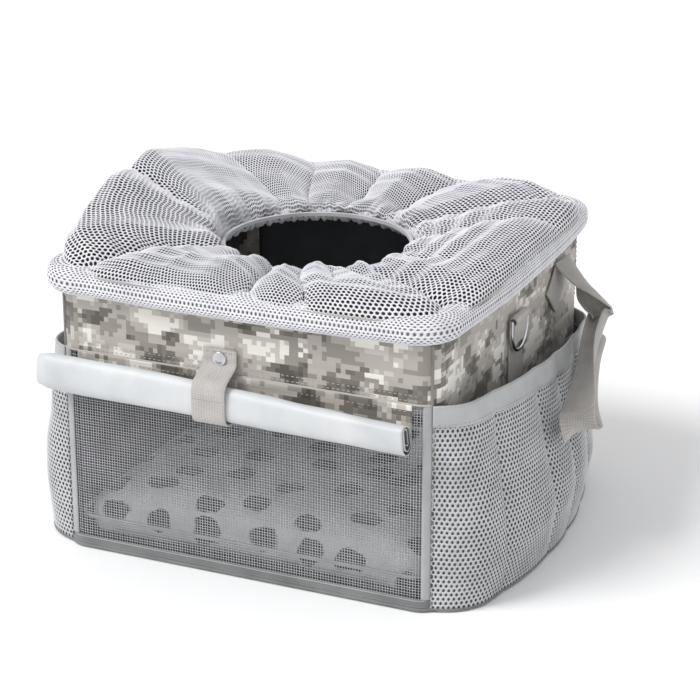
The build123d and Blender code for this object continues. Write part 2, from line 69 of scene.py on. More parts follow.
MM = 0.001
TURN = 2 * math.pi
X, Y, Z = np.eye(3)

# Body, as in the part's source
half_width, half_depth = 170.0, 175.0
corner_radius = 18.0
corner_x, corner_y = half_width - corner_radius, half_depth - corner_radius
front_y = -half_depth
wall_top, band_bottom, sill_top = 230.0, 180.0, 11.0
cloth, board = 1.6, 3.0
lining_inset = cloth + board + 0.7

# Window: how far the net reaches into the corners, its cells, and half its threads' width and thickness
net_half = corner_x + 6.5
net_cells = (132, 70)
net_thread = (0.35, 0.24)

# Rim and cover
rim_half = (188.0, 192.0)
rim_section = 12.0
rim_corner, rim_bow = 38.0, 6.0
rim_pitch = 3.7
cover_inset = 3.6
cover_foot_z = 249.8
cover_power = 6.0
cover_girth = 1330.0
mouth_radius, mouth_shift, mouth_z = 84.0, -25.0, 251.0
puff_height = 50.0
puff_shares = (0.42, 0.50, 0.46, 0.34, 0.28, 0.30, 0.30, 0.34, 0.50, 0.82,
               1.06, 0.98, 0.66, 0.42, 0.36, 0.40, 0.44, 0.40, 0.31, 0.34)
fold_depth, fold_reach = 13.0, 0.030
profile_run = (0.0, 0.03, 0.12, 0.27, 0.46, 0.66, 0.83, 0.955, 1.0)
profile_rise = (0.0, 0.50, 0.84, 1.0, 0.97, 0.80, 0.55, 0.28, -0.04)
# Creases of the cover: share round its foot and round its mouth, depth, and where on the way up each begins
creases = np.array([
    (0.058, 0.030, 0.45, 0.0), (0.128, 0.112, 1.35, 0.0), (0.205, 0.195, 1.0, 0.0), (0.268, 0.272, 0.9, 0.0),
    (0.335, 0.330, 0.8, 0.0), (0.395, 0.375, 0.5, 0.2), (0.510, 0.548, 1.1, 0.28), (0.592, 0.585, 0.3, 0.50),
    (0.640, 0.628, 1.3, 0.0), (0.690, 0.690, 0.5, 0.60), (0.762, 0.745, 1.6, 0.0), (0.799, 0.797, 1.15, 0.0),
    (0.832, 0.830, 0.8, 0.45), (0.858, 0.862, 0.8, 0.45), (0.882, 0.902, 1.35, 0.0),
    (0.950, 0.948, 0.5, 0.55)])

# Pockets: (height, bulge) up the form, the hem's fall to the back, and the mesh cell's width
pocket_levels = ((1.6, 46.0), (48.0, 54.0), (108.0, 42.0), (192.0, 22.0))
pocket_stations = 240
pocket_creases = np.array([0.0, 0.20, 0.42, 0.56, 0.72, 0.87, 1.0])
hem_slope = math.tan(math.radians(4.9))
hem_width, hem_z = 18.0, 165.0
pocket_height, pocket_pitch = 160.0, 4.3

# Flap roll and its strap
roll_center = (-189.4, 161.5)
roll_length, roll_shift, roll_tilt = 329.0, -13.5, math.radians(1.2)
roll_leg, roll_radius, roll_steps = 7.0, 9.1, (1.2, 2.2, 2.4, 2.2, 1.0)
strap_x, strap_half = -17.0, 15.0
strip_width, strip_drop, strip_lean = 300.0, 20.0, 4.0
snap_z, snap_stitch_z = 194.0, 200.0

# Free webbing at the sides: its hang and sweep, then (along, down, twist, curl) from the anchor to the knot,
# and (sweep, down, turn in degrees, curl) round the loop
loop_drop, loop_sweep, loop_width = 55.0, 135.0, 34.0
loop_start = ((0.0, 0.0, 0.0, 0.1), (0.35, 0.20, 0.2, 1.0), (0.72, 0.55, 0.55, 1.7), (0.95, 0.9, 0.85, 1.9))
loop_round = ((0.06, 0.06, 40, 1.9), (0.45, 0.28, 60, 1.0), (0.90, 0.64, 36, 0.5), (0.985, 0.72, 32, 0.6),
              (1.02, 0.82, 30, 0.7), (1.01, 0.93, 28, 0.7), (0.95, 1.01, 24, 0.6), (0.86, 1.03, 16, 0.5),
              (0.66, 0.98, -18, 0.7), (0.46, 0.78, -48, 1.1), (0.25, 0.46, -60, 1.6), (0.10, 0.20, -40, 1.9))


# ------------------------------------------------ small maths
def unit(a):
    return a / np.maximum(np.linalg.norm(a, axis=-1, keepdims=True), 1e-9)


def ease(x, low, high):
    t = np.clip((x - low) / (high - low), 0, 1)
    return t * t * (3 - 2 * t)


def near(u, centre, width):
    """Bell over the way round, 1 at the centre."""
    away = (np.asarray(u) - centre + 0.5) % 1 - 0.5
    return np.exp(-(away / width) ** 2)


def column(*parts):
    return np.stack(np.broadcast_arrays(*parts), -1).astype(float)


def follow(values, x, closed=False):
    """Smooth curve through evenly spaced values, at stations x."""
    p = np.asarray(values, float)
    n = len(p)
    k = np.floor(x).astype(int) if closed else np.minimum(x.astype(int), n - 2)
    f = (x - k).reshape(np.shape(x) + (1,) * (p.ndim - 1))
    a, b, c, d = (p[(k + i) % n if closed else np.clip(k + i, 0, n - 1)] for i in (-1, 0, 1, 2))
    return 0.5 * (2 * b + (c - a) * f + (2 * a - 5 * b + 4 * c - d) * f ** 2
                  + (3 * b - a - 3 * c + d) * f ** 3)


def spline(points, count):
    """Smooth curve through the points, as count points evenly spread over its stations."""
    return follow(points, np.linspace(0, len(points) - 1, count))


def even(points, count, closed=False):
    """The polyline's points spread evenly along its length."""
    p = np.asarray(points, float)
    if closed:
        p = np.vstack([p, p[:1]])
    length = np.concatenate([[0], np.cumsum(np.linalg.norm(np.diff(p, axis=0), axis=1))])
    where = np.linspace(0, length[-1], count, endpoint=not closed)
    return np.stack([np.interp(where, length, p[:, k]) for k in range(p.shape[1])], 1)


def length_of(line, closed=False):
    return np.linalg.norm(np.diff(np.vstack([line, line[:1]]) if closed else line, axis=0), axis=1).sum()


def arc(a, m, b, count=24):
    """Circular arc from a to b through m, in a plane."""
    a, m, b = (np.array(q, float) for q in (a, m, b))
    d = 2 * (a[0] * (m[1] - b[1]) + m[0] * (b[1] - a[1]) + b[0] * (a[1] - m[1]))
    qa, qm, qb = (q @ q for q in (a, m, b))
    c = np.array([(qa * (m[1] - b[1]) + qm * (b[1] - a[1]) + qb * (a[1] - m[1])) / d,
                  (qa * (b[0] - m[0]) + qm * (a[0] - b[0]) + qb * (m[0] - a[0])) / d])
    angle = [math.atan2(*(q - c)[::-1]) for q in (a, m, b)]
    sweep = (angle[2] - angle[0]) % TURN
    if (angle[1] - angle[0]) % TURN > sweep:
        sweep -= TURN
    t = angle[0] + np.linspace(0, 1, count) * sweep
    return c + np.linalg.norm(a - c) * np.stack([np.cos(t), np.sin(t)], 1)


def waves(seed, count, low, high):
    """Soft random field: a sum of sines of u and v, steady from run to run."""
    source = np.random.default_rng(seed)
    terms = [(source.integers(low, high), source.uniform(low, high), source.uniform(0, TURN),
              source.uniform(0.5, 1)) for _ in range(count)]

    def field(u, v):
        total = sum(g * np.sin(TURN * (k * u + m * v) + p) for k, m, p, g in terms)
        return total / math.sqrt(count)

    return field


# ------------------------------------------------ meshes
def add_mesh(name, points, faces, materials, body="basket", uv=None, face_material=None):
    mesh = bpy.data.meshes.new(name)
    mesh.from_pydata((np.asarray(points) * MM).tolist(), [], [list(map(int, f)) for f in faces])
    for material in materials if isinstance(materials, (list, tuple)) else [materials]:
        mesh.materials.append(material)
    mesh.polygons.foreach_set("use_smooth", [True] * len(mesh.polygons))
    if face_material is not None:
        mesh.polygons.foreach_set("material_index", np.asarray(face_material, np.int32))
    if uv is not None:
        layer = mesh.uv_layers.new(name="UVMap")
        layer.data.foreach_set("uv", (np.asarray(uv, float) * MM).ravel())
    mesh.update()
    obj = bpy.data.objects.new(name, mesh)
    bpy.context.scene.collection.objects.link(obj)
    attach(obj, body)
    return obj


def surface_normals(surface, u, v):
    step = 1e-3
    du = surface(u + step, v) - surface(u - step, v)
    dv = surface(u, v + step) - surface(u, v - step)
    return unit(np.cross(du, dv))


def index_grid(columns, rows):
    return (a.ravel() for a in np.meshgrid(np.arange(columns), np.arange(rows), indexing="ij"))


def sheet_mesh(name, surface, columns, rows, size, materials, body="basket", thickness=1.0, wrap=False,
               flip=1):
    """Cloth with two faces and closed edges over surface(u, v); size is its width and height for the weave.

    flip is -1 where the surface's own normal points inwards.
    """
    u, v = np.meshgrid(np.linspace(0, 1, columns, endpoint=not wrap), np.linspace(0, 1, rows), indexing="ij")
    u, v = u.ravel(), v.ravel()
    middle, n = surface(u, v), surface_normals(surface, u, v) * flip
    points = np.vstack([middle + n * thickness / 2, middle - n * thickness / 2])
    across, count = columns if wrap else columns - 1, columns * rows
    i, j = index_grid(across, rows - 1)
    ii, jj = np.stack([i, i + 1, i + 1, i], 1), np.stack([j, j, j + 1, j + 1], 1)
    faces = (ii % columns) * rows + jj
    uv = np.stack([ii, jj], -1) * [size[0] / across, size[1] / (rows - 1)]
    low = [(i * rows, ((i + 1) % columns) * rows) for i in range(across)]
    high = [(b + rows - 1, a + rows - 1) for a, b in low]
    sides, last = [], (columns - 1) * rows
    if not wrap:
        sides = [(j + 1, j) for j in range(rows - 1)] + [(last + j, last + j + 1) for j in range(rows - 1)]
    edge = np.array([(a, a + count, b + count, b) for a, b in low + high + sides])
    if flip < 0:
        faces, uv, edge = faces[:, ::-1], uv[:, ::-1], edge[:, ::-1]
    every = np.vstack([faces, faces[:, ::-1] + count, edge])
    uvs = np.vstack([uv, uv[:, ::-1], np.zeros((len(edge), 4, 2))])
    slots = None
    if isinstance(materials, (list, tuple)):
        slots = np.concatenate([np.zeros(len(faces)), np.ones(len(faces)), np.zeros(len(edge))])
    return add_mesh(name, points, every, materials, body, uvs, slots)


CELL_CORNERS = ((0, 2), (1, 1), (1, -1), (0, -2), (-1, -1), (-1, 1))


def mesh_skin(name, surface, columns, rows, material, strand, hole, wrap=True, wrap_rows=False, flip=1):
    """Knitted mesh: hexagonal holes between rounded strands over surface(u, v)."""
    i, j = index_grid(columns, rows)
    x2, y3 = 2 * i + j % 2, 3 * j
    kx, ky = (np.stack([start + corner[k] for corner in CELL_CORNERS], 1) for k, start in enumerate((x2, y3)))
    wx = kx % (2 * columns) if wrap else kx
    wy = ky % (3 * rows) if wrap_rows else ky
    key = (wy + 4) * (2 * columns + 8) + wx + 4
    _, first, index = np.unique(key.ravel(), return_index=True, return_inverse=True)
    index = index.reshape(key.shape)

    def place(x, y):
        u = x / (2 * columns) if wrap else (x + 1) / (2 * columns + 1)
        v = y / (3 * rows) if wrap_rows else (y + 2) / (3 * (rows - 1) + 4)
        return u, v

    ou, ov = place(wx.ravel()[first].astype(float), wy.ravel()[first].astype(float))
    iu, iv = place(x2[:, None] + hole[0] * (kx - x2[:, None]), y3[:, None] + hole[1] * (ky - y3[:, None]))
    outer, normal = surface(ou, ov), surface_normals(surface, ou, ov) * flip
    inner = surface(iu.ravel(), iv.ravel())
    count = len(first)
    points = np.vstack([outer + normal * strand, outer - normal * strand, inner])
    ring = 2 * count + np.arange(len(i) * 6).reshape(-1, 6)
    faces = []
    for k in range(6):
        m = (k + 1) % 6
        faces.append(np.stack([ring[:, k], ring[:, m], index[:, m], index[:, k]], 1))
        faces.append(np.stack([index[:, k] + count, index[:, m] + count, ring[:, m], ring[:, k]], 1))
    edges = np.vstack([np.stack([index[:, k], index[:, (k + 1) % 6]], 1) for k in range(6)])
    _, where, uses = np.unique(np.sort(edges, 1), axis=0, return_index=True, return_counts=True)
    a, b = edges[where[uses == 1]].T
    faces = np.vstack(faces + [np.stack([a, b, b + count, a + count], 1)])
    return add_mesh(name, points, faces[:, ::-1] if flip < 0 else faces, material)


def frames_along(path, across=None, closed=False):
    """Side and normal at each point of a path."""
    tangent = unit(np.roll(path, -1, 0) - np.roll(path, 1, 0)) if closed else unit(np.gradient(path, axis=0))
    if across is None:
        side = np.cross(tangent, Z)
        weak = np.linalg.norm(side, axis=1) < 0.2
        side[weak] = np.cross(tangent[weak], X)
    else:
        side = across - tangent * (across * tangent).sum(1, keepdims=True)
    side = unit(side)
    return side, np.cross(side, tangent)


def loft(path, side, normal, section, closed=False):
    """Points and faces of a section swept along a path; uv is the length and the way round."""
    s = np.asarray(section)
    if s.ndim == 2:
        s = np.broadcast_to(s, (len(path),) + s.shape)
    side, normal = (np.broadcast_to(way, path.shape)[:, None] for way in (side, normal))
    points = path[:, None] + side * s[..., :1] + normal * s[..., 1:]
    n, m = len(path), s.shape[1]
    i, j = index_grid(n if closed else n - 1, m)
    ii, jj = np.stack([i, i, i + 1, i + 1], 1), np.stack([j, j + 1, j + 1, j], 1)
    faces = ((ii % n) * m + jj % m).tolist()
    length = np.concatenate([[0], np.cumsum(np.linalg.norm(np.diff(path, axis=0), axis=1))])
    if closed:
        length = np.append(length, length[-1] + np.linalg.norm(path[0] - path[-1]))
    around = np.linalg.norm(np.diff(np.vstack([s[0], s[0][:1]]), axis=0), axis=1)
    turn = np.concatenate([[0], np.cumsum(around)])
    uv = np.stack([length[ii], turn[jj]], -1).reshape(-1, 2).tolist()
    if not closed:
        faces += [list(range(m))[::-1], [(n - 1) * m + k for k in range(m)]]
        uv += [[0.0, 0.0]] * (2 * m)
    return points.reshape(-1, 3), faces, np.array(uv)


def ring_of(sides, width=1.0, height=1.0):
    t = np.arange(sides) / sides * TURN
    return np.stack([np.cos(t) * width, np.sin(t) * height], 1)


def tube(name, path, radius, material, body="basket", closed=False, sides=10):
    path = np.asarray(path, float)
    return add_mesh(name, *loft(path, *frames_along(path, None, closed), ring_of(sides) * radius, closed)[:2],
                    material, body)


def ribbon(name, path, across, width, thickness, material, body="basket", closed=False, curl=0.001):
    """Flat webbing along a path, its edges rounded; curl is how far its halves bend up, in radians."""
    path, across = np.asarray(path, float), np.asarray(across, float)
    share = np.array([-1, -0.97, -0.8, -0.6, -0.4, -0.2, 0, 0.2, 0.4, 0.6, 0.8, 0.97, 1])
    half = np.where(np.abs(share) > 0.98, 0.45, 1.0)[:, None] * thickness / 2
    bend = np.broadcast_to(np.asarray(curl, float), (len(path),))[:, None]
    angle = bend * share
    middle = width / 2 * np.stack([np.sin(angle) / bend, (1 - np.cos(angle)) / bend], -1)
    up = np.stack([-np.sin(angle), np.cos(angle)], -1)
    section = np.concatenate([middle + up * half, (middle - up * half)[:, ::-1]], 1)
    points, faces, uv = loft(path, *frames_along(path, across, closed), section, closed)
    return add_mesh(name, points, faces, material, body, uv)


def strap(node, path, across, width, thickness, material, body="basket", **shape):
    """Webbing that stands for a CAD node."""
    piece = ribbon(node + "_webbing", path, across, width, thickness, material, body, **shape)
    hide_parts(node)


def stitches(name, paths, material, body="basket", radius=0.42):
    """Rows of thread stitches. Each path is a pair: points, and the way out of the cloth."""
    pitch = 4.4
    points, faces = [], []
    for path, out in paths:
        path = np.asarray(path, float)
        count = max(2, int(length_of(path) / pitch))
        stations = even(np.hstack([path, np.broadcast_to(out, path.shape)]), count * 4 + 1)
        for k in range(count):
            a, b = stations[4 * k], stations[4 * k + 3]
            start, end = a[:3], b[:3]
            n = unit(a[3:] + b[3:])
            side = np.cross(unit(end - start), n)
            base = len(points)
            points += [start - n * radius * 0.5, end - n * radius * 0.5]
            for share in (0.25, 0.75):
                c = start + (end - start) * share
                points += [c + side * radius, c + n * radius, c - side * radius, c - n * radius]
            for q in range(4):
                r = (q + 1) % 4
                faces += [(base, base + 2 + r, base + 2 + q),
                          (base + 2 + q, base + 2 + r, base + 6 + r, base + 6 + q),
                          (base + 1, base + 6 + q, base + 6 + r)]
    return add_mesh(name, points, faces, material, body)


# ------------------------------------------------ materials
def srgb(code):
    rgb = [int(code[k:k + 2], 16) / 255 for k in (0, 2, 4)]
    return tuple(c / 12.92 if c <= 0.04045 else ((c + 0.055) / 1.055) ** 2.4 for c in rgb) + (1,)


class Shader:
    """A Principled material and short ways to wire its nodes."""

    def __init__(self, name, colour, roughness, metallic=0.0, sheen=0.0, specular=0.5):
        self.material = bpy.data.materials.new(name)
        self.material.use_nodes = True
        self.tree = self.material.node_tree
        self.main = self.tree.nodes["Principled BSDF"]
        start = {"Base Color": srgb(colour), "Roughness": roughness, "Metallic": metallic,
                 "Sheen Weight": sheen, "Sheen Roughness": 0.5, "Specular IOR Level": specular}
        for key, value in start.items():
            self.main.inputs[key].default_value = value
        self.place = self.node("TexCoord")

    def node(self, kind, links=(), **values):
        made = self.tree.nodes.new("ShaderNode" + kind)
        for key, value in values.items():
            setattr(made, key, value)
        for key, value in dict(links).items():
            if isinstance(value, bpy.types.NodeSocket):
                self.tree.links.new(value, made.inputs[key])
            else:
                made.inputs[key].default_value = value
        return made

    def scaled(self, scale, uv=False):
        source = self.place.outputs["UV" if uv else "Object"]
        return self.node("Mapping", {"Vector": source, "Scale": scale}).outputs["Vector"]

    def pattern(self, kind, vector, output="Fac", **links):
        return self.node(kind, {"Vector": vector, "Scale": 1.0, **links}).outputs[output]

    def noise(self, scale, detail=3.0, stretch=(1, 1, 1)):
        vector = self.scaled(tuple(scale * s for s in stretch))
        return self.pattern("TexNoise", vector, Detail=detail)

    def wave(self, pitch, direction, uv=True):
        vector = self.scaled((TURN / 20 / (pitch * MM),) * 3, uv)
        made = self.node("TexWave", {"Vector": vector, "Scale": 1.0}, bands_direction=direction)
        return made.outputs["Fac"]

    def weave(self, pitch, uv=True):
        """Over and under of two sets of threads."""
        return self.maths("MAXIMUM", self.wave(pitch, "X", uv), self.wave(pitch, "Y", uv))

    def maths(self, operation, a, b=0.0, c=0.0):
        return self.node("Math", {0: a, 1: b, 2: c}, operation=operation).outputs[0]

    def vectors(self, operation, links):
        return self.node("VectorMath", links, operation=operation).outputs[0]

    def ramp(self, value, stops, steps=False):
        made = self.node("ValToRGB", {"Fac": value})
        made.color_ramp.interpolation = "CONSTANT" if steps else "LINEAR"
        while len(made.color_ramp.elements) < len(stops):
            made.color_ramp.elements.new(0.5)
        for element, (place, colour) in zip(made.color_ramp.elements, stops):
            element.position, element.color = place, srgb(colour)
        return made.outputs["Color"]

    def paint(self, colour):
        self.tree.links.new(colour, self.main.inputs["Base Color"])
        return self

    def mottle(self, scale, darker, colour, detail=4, top=0.7):
        """The colour with soft darker patches."""
        return self.paint(self.ramp(self.noise(scale, detail), [(0.3, darker), (top, colour)]))

    def rough(self, value, low, high):
        made = self.node("MapRange", {"Value": value, "To Min": low, "To Max": high})
        self.tree.links.new(made.outputs["Result"], self.main.inputs["Roughness"])
        return self

    def bump(self, *layers):
        """Layers of (height, depth in mm), finest last."""
        normal = None
        for height, depth in layers:
            links = {"Height": height, "Strength": 1.0, "Distance": depth * MM}
            if normal is not None:
                links["Normal"] = normal
            normal = self.node("Bump", links).outputs["Normal"]
        self.tree.links.new(normal, self.main.inputs["Normal"])
        return self


def woven(name, colour, darker, pitch=0.9, uv=True):
    s = Shader(name, colour, 0.75, sheen=0.15).mottle(35, darker, colour)
    s.rough(s.noise(105, 2), 0.67, 0.85)
    return s.bump((s.noise(60, 3), 0.5), (s.weave(pitch, uv), 0.12)).material


def camo():
    """Printed block camouflage on a fine woven cloth, laid out on the cloth's own width and height."""
    block_size, seen_blocks = 0.0041, 0.07
    s = Shader("camo_cloth", "b5aea6", 0.72, sheen=0.2)
    snapped = s.vectors("SNAP", {0: s.place.outputs["UV"], 1: (block_size,) * 3})

    def field(scale, shift, detail):
        vector = s.node("Mapping", {"Vector": snapped, "Location": shift,
                                    "Scale": (scale, scale * 1.6, scale)}).outputs["Vector"]
        return s.pattern("TexNoise", vector, Detail=detail, Roughness=0.62)

    speck = s.node("TexWhiteNoise", {"Vector": snapped}, noise_dimensions="3D").outputs["Value"]
    jitter = s.maths("MULTIPLY", s.maths("SUBTRACT", speck, 0.5), seen_blocks)
    main = s.maths("ADD", field(19, (3.1, 1.7, 0), 2.5), jitter)
    second = s.maths("ADD", field(24, (9.3, 4.2, 0), 2.0), jitter)
    ground = s.ramp(main, [(0.0, "928d85"), (0.41, "b3ada5"), (0.52, "c8c3bb"), (0.57, "ebe8e0")], True)
    dark = s.ramp(second, [(0.0, "ffffff"), (0.57, "a3a09d"), (0.64, "7a7774")], True)
    factor, first, other, result = 0, 6, 7, 2
    mixed = s.node("Mix", {factor: 1.0, first: ground, other: dark}, data_type="RGBA", blend_type="MULTIPLY")
    s.paint(mixed.outputs[result]).rough(s.noise(90, 2), 0.66, 0.82)
    return s.bump((s.noise(38, 3), 0.9), (s.weave(0.7), 0.10)).material


def knit(name, colour, darker):
    """Strands of knitted mesh."""
    s = Shader(name, colour, 0.6, sheen=0.25).mottle(45, darker, colour, top=0.65)
    return s.rough(s.noise(220, 2), 0.5, 0.72).bump((s.noise(900, 2), 0.12)).material


def webbing(name, colour, darker):
    """Ribbed tape: fine ribs across, coarser bands along."""
    s = Shader(name, colour, 0.7, sheen=0.2)
    ribs, rows = s.wave(1.5, "X"), s.wave(2.4, "Y")
    height = s.maths("ADD", s.maths("MULTIPLY", ribs, 0.7), s.maths("MULTIPLY", rows, 0.5))
    # Colour follows the ribs' height: painted shade in the grooves, plus random darker tone from noise
    groove_shade_and_tone = s.maths("MULTIPLY_ADD", height, 0.35, s.maths("MULTIPLY", s.noise(70, 4), 0.55))
    s.paint(s.ramp(groove_shade_and_tone, [(0.25, darker), (0.75, colour)])).rough(s.noise(150, 2), 0.62, 0.8)
    return s.bump((s.noise(50, 2), 0.3), (height, 0.35)).material


def plush():
    """Short light pile printed with dark rounded spots."""
    s = Shader("plush", "d6d8d7", 0.95, sheen=0.3)
    warp = s.pattern("TexNoise", s.scaled((45,) * 3, True), "Color", Detail=2.0)
    moved = s.vectors("ADD", {0: s.place.outputs["UV"], 1: s.vectors("SCALE", {0: warp, "Scale": 0.016})})
    cell = s.node("TexVoronoi", {"Vector": moved, "Scale": 21.0, "Randomness": 0.55}, voronoi_dimensions="2D")
    edge = s.maths("ADD", cell.outputs["Distance"], s.maths("MULTIPLY", s.noise(260, 3), 0.06))
    s.paint(s.ramp(edge, [(0.0, "0d0d0d"), (0.27, "131313"), (0.31, "cccecd"), (1.0, "e0e2e1")]))
    return s.bump((s.noise(190, 4), 1.6), (s.noise(900, 3), 0.7)).material


def coated():
    """Silver white coated cloth with soft creases."""
    s = Shader("coated_cloth", "dfe1e2", 0.42, sheen=0.1).mottle(22, "c3c6c8", "d8dadb")
    s.rough(s.noise(60, 3), 0.34, 0.52)
    return s.bump((s.noise(16, 3, stretch=(0.35, 1, 1)), 1.2), (s.noise(120, 3), 0.15),
                  (s.weave(0.8), 0.04)).material


def steel(name, colour="cfd0d2", roughness=0.14):
    s = Shader(name, colour, roughness, metallic=1.0).mottle(140, "b9babd", colour, detail=3)
    s.rough(s.noise(420, 4, stretch=(1, 1, 0.2)), roughness - 0.05, roughness + 0.12)
    return s.bump((s.noise(160, 3), 0.02)).material


def plastic(name, colour, darker):
    s = Shader(name, colour, 0.5).mottle(60, darker, colour, detail=3)
    return s.rough(s.noise(200, 2), 0.44, 0.6).bump((s.noise(700, 3), 0.1)).material


CAMO = camo()
LINING = woven("grey_lining", "5b5d60", "4b4d50", 0.8)
# Near-black sheet under the cover: partly the cover's dark inner layer, partly painted shade so the mesh's
# holes read black
COVER_LINING_AND_SHADE = woven("dark_lining_and_painted_shade", "17171a", "101012", 0.8)
# Grey sheet behind the pocket mesh: partly a backing cloth, partly painted shade so the holes read mid-grey
POCKET_BACK_AND_SHADE = woven("pocket_backing_and_painted_shade", "7f8183", "727476", 0.9)
WHITE_KNIT = knit("white_mesh", "ececf0", "dcdce2")
GREY_KNIT = knit("grey_mesh", "cacccd", "b8babc")
WHITE_TAPE = woven("white_tape", "d2d2d6", "bcbcc2", 0.9)
# Rim padding coloured grey as painted shade: the white padding in shadow, seen through the rim mesh's holes
SHADED_RIM_CORE = woven("rim_core_painted_shade", "a6a6ab", "96969b", 1.0)
GREY_TAPE = woven("grey_tape", "b4b6b7", "a2a4a5", 1.1)
HEM_TAPE = woven("hem_tape", "bcbebf", "acaeaf", 1.1)
DARK_TAPE = woven("dark_tape", "7e8081", "6a6c6d", 1.3)
NET = knit("window_net", "b2b4b6", "a0a2a4")
PLUSH = plush()
COATED = coated()
COATED_BACK = woven("coated_back", "6b6f6c", "585b59", 0.8)
WEBBING = webbing("light_webbing", "c9c5c1", "a8a4a0")
DARK_WEBBING = webbing("grey_webbing", "bfbbb7", "9c9894")
HOOK_TAPE = woven("hook_tape", "6e6c6b", "5a5857", 1.4)
THREAD = woven("thread", "b7b4af", "a3a09b", 0.5, uv=False)
DARK_THREAD = woven("dark_thread", "8f8d8a", "7b7976", 0.5, uv=False)
CHROME = steel("polished_steel")
WIRE = steel("spring_wire", "a9a9ac", 0.32)
BOARD = plastic("board", "3a3a3c", "2c2c2e")
ELASTIC = woven("elastic", "c9c9cc", "b5b5b8", 0.8, uv=False)


# ------------------------------------------------ plan outlines
def bowed_outline(half_x, half_y, radius, bow, count=1200):
    """Rounded rectangle with bowed sides, from the middle of +X round by +Y."""
    cx, cy = half_x - bow - radius, half_y - bow - radius
    lean = radius * math.sqrt(0.5)

    def run(a, m, b):
        return arc(a, m, b, 160) if bow else np.linspace(a, b, 160)

    half = np.vstack([
        run((half_x - bow, -cy), (half_x, 0), (half_x - bow, cy)),
        arc((half_x - bow, cy), (cx + lean, cy + lean), (cx, half_y - bow), 40),
        run((cx, half_y - bow), (0, half_y), (-cx, half_y - bow)),
        arc((-cx, half_y - bow), (-cx - lean, cy + lean), (bow - half_x, cy), 40)])
    return even(np.vstack([half, -half]), count, True)


def walker(outline):
    """Point and outward way of a closed outline at a share of its length."""
    closed = np.vstack([outline, outline[:1]])
    step = np.linspace(0, 1, len(closed))
    ahead = unit(np.roll(outline, -2, 0) - np.roll(outline, 2, 0))
    out = np.stack([ahead[:, 1], -ahead[:, 0]], 1)
    out = np.vstack([out, out[:1]])

    def at(u):
        u = np.asarray(u, float) % 1
        point, way = (column(*(np.interp(u, step, side) for side in table.T)) for table in (closed, out))
        return point, unit(way)

    return at


def share_near(line, x, y):
    return float(np.argmin(((line - [x, y]) ** 2).sum(1))) / len(line)


def pushed(point, way, off, z):
    """Points in plan moved along a way, at height z."""
    return column(point[..., 0] + way[..., 0] * off, point[..., 1] + way[..., 1] * off, z)


body_line = bowed_outline(half_width, half_depth, corner_radius, 0)
body_at = walker(body_line)
body_length = length_of(body_line, True)
corner_lean = corner_radius * math.sqrt(0.5)
front_left, front_right, back_right, back_left = (
    share_near(body_line, sx * (corner_x + corner_lean), sy * (corner_y + corner_lean))
    for sx, sy in ((-1, -1), (1, -1), (1, 1), (-1, 1)))


def wall_surface(start, end, z_low, z_high, inset=0.8, wrinkle=0.5, seed=1, sag=0.0):
    """Cloth along a stretch of the body's outline, with soft wrinkles that die out at its seams."""
    field = waves(seed, 7, 1, 5)
    end = end if end > start else end + 1

    def surface(u, v):
        u, v = np.clip(u, 0, 1), np.clip(v, 0, 1)
        calm = ease(np.minimum(u, 1 - u), 0, 0.08) * ease(np.minimum(v, 1 - v), 0, 0.12)
        off = -inset + calm * (wrinkle * field(u, v) - sag * np.sin(np.pi * v))
        return pushed(*body_at(start + (end - start) * u), off, z_low + (z_high - z_low) * v)

    return surface


def line_on(surface, u, v, lift=0.0, flip=1):
    """Points over a surface along (u, v), and the way out of it."""
    u, v = np.broadcast_arrays(np.asarray(u, float), np.asarray(v, float))
    n = surface_normals(surface, u, v) * flip
    return surface(u, v) + n * lift, n


front_length = ((front_right - front_left) % 1) * body_length


# ------------------------------------------------ body of the basket
def make_walls():
    seams, end_gap = [], 18
    for name, start, end, seed in (("right", front_right, back_right, 3), ("left", back_left, front_left, 5),
                                   ("back", back_right, back_left, 8)):
        surface = wall_surface(start, end, cloth, wall_top, wrinkle=0.7, seed=seed)
        length = ((end - start) % 1) * body_length
        wall = sheet_mesh(name + "_wall_cloth", surface, 150, 90, (length, wall_top), CAMO, thickness=cloth)
        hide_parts(name + "_wall")
        inner = wall_surface(start, end, cloth, wall_top, inset=lining_inset, wrinkle=0.3, seed=seed + 20)
        trim = end_gap / length
        lining = sheet_mesh(name + "_lining", lambda u, v: inner(trim + (1 - 2 * trim) * u, v), 90, 60,
                            (length, wall_top), LINING, thickness=0.6)
        if name != "back":
            seams += [line_on(surface, u, np.linspace(0.72, 0.99, 60), cloth / 2) for u in (0.03, 0.97)]
    height, lined = wall_top - band_bottom, 0.89
    front = (front_left, front_right, band_bottom, wall_top)
    band = wall_surface(*front, wrinkle=0.6, seed=12, sag=0.4)
    piece = sheet_mesh("front_band_cloth", band, 200, 36, (front_length, height), CAMO, thickness=cloth)
    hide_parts("front_band")
    inner = wall_surface(*front, inset=lining_inset, wrinkle=0.2, seed=40)
    lining = sheet_mesh("front_band_lining", lambda u, v: inner((1 - lined) / 2 + lined * u, v), 90, 20,
                        (front_length, height), LINING, thickness=0.6)
    rows = [line_on(band, np.linspace(0.03, 0.97, 200), v, cloth / 2) for v in (0.05, 0.14)]
    stitches("band_stitches", rows, THREAD)
    tube("band_piping", line_on(band, np.linspace(0, 1, 160), 0.0, cloth / 2 + 0.4)[0], 1.0, CAMO, sides=8)
    stitches("wall_stitches", seams, DARK_THREAD)
    for name, share in (("front_right", front_right), ("front_left", front_left), ("back_right", back_right),
                        ("back_left", back_left)):
        low, material = (band_bottom, DARK_THREAD) if "front" in name else (cloth, CAMO)
        line = pushed(*body_at(share), 0.3, np.linspace(low, wall_top, 30))
        tube("corner_piping_" + name, line, 1.3, material, sides=8)


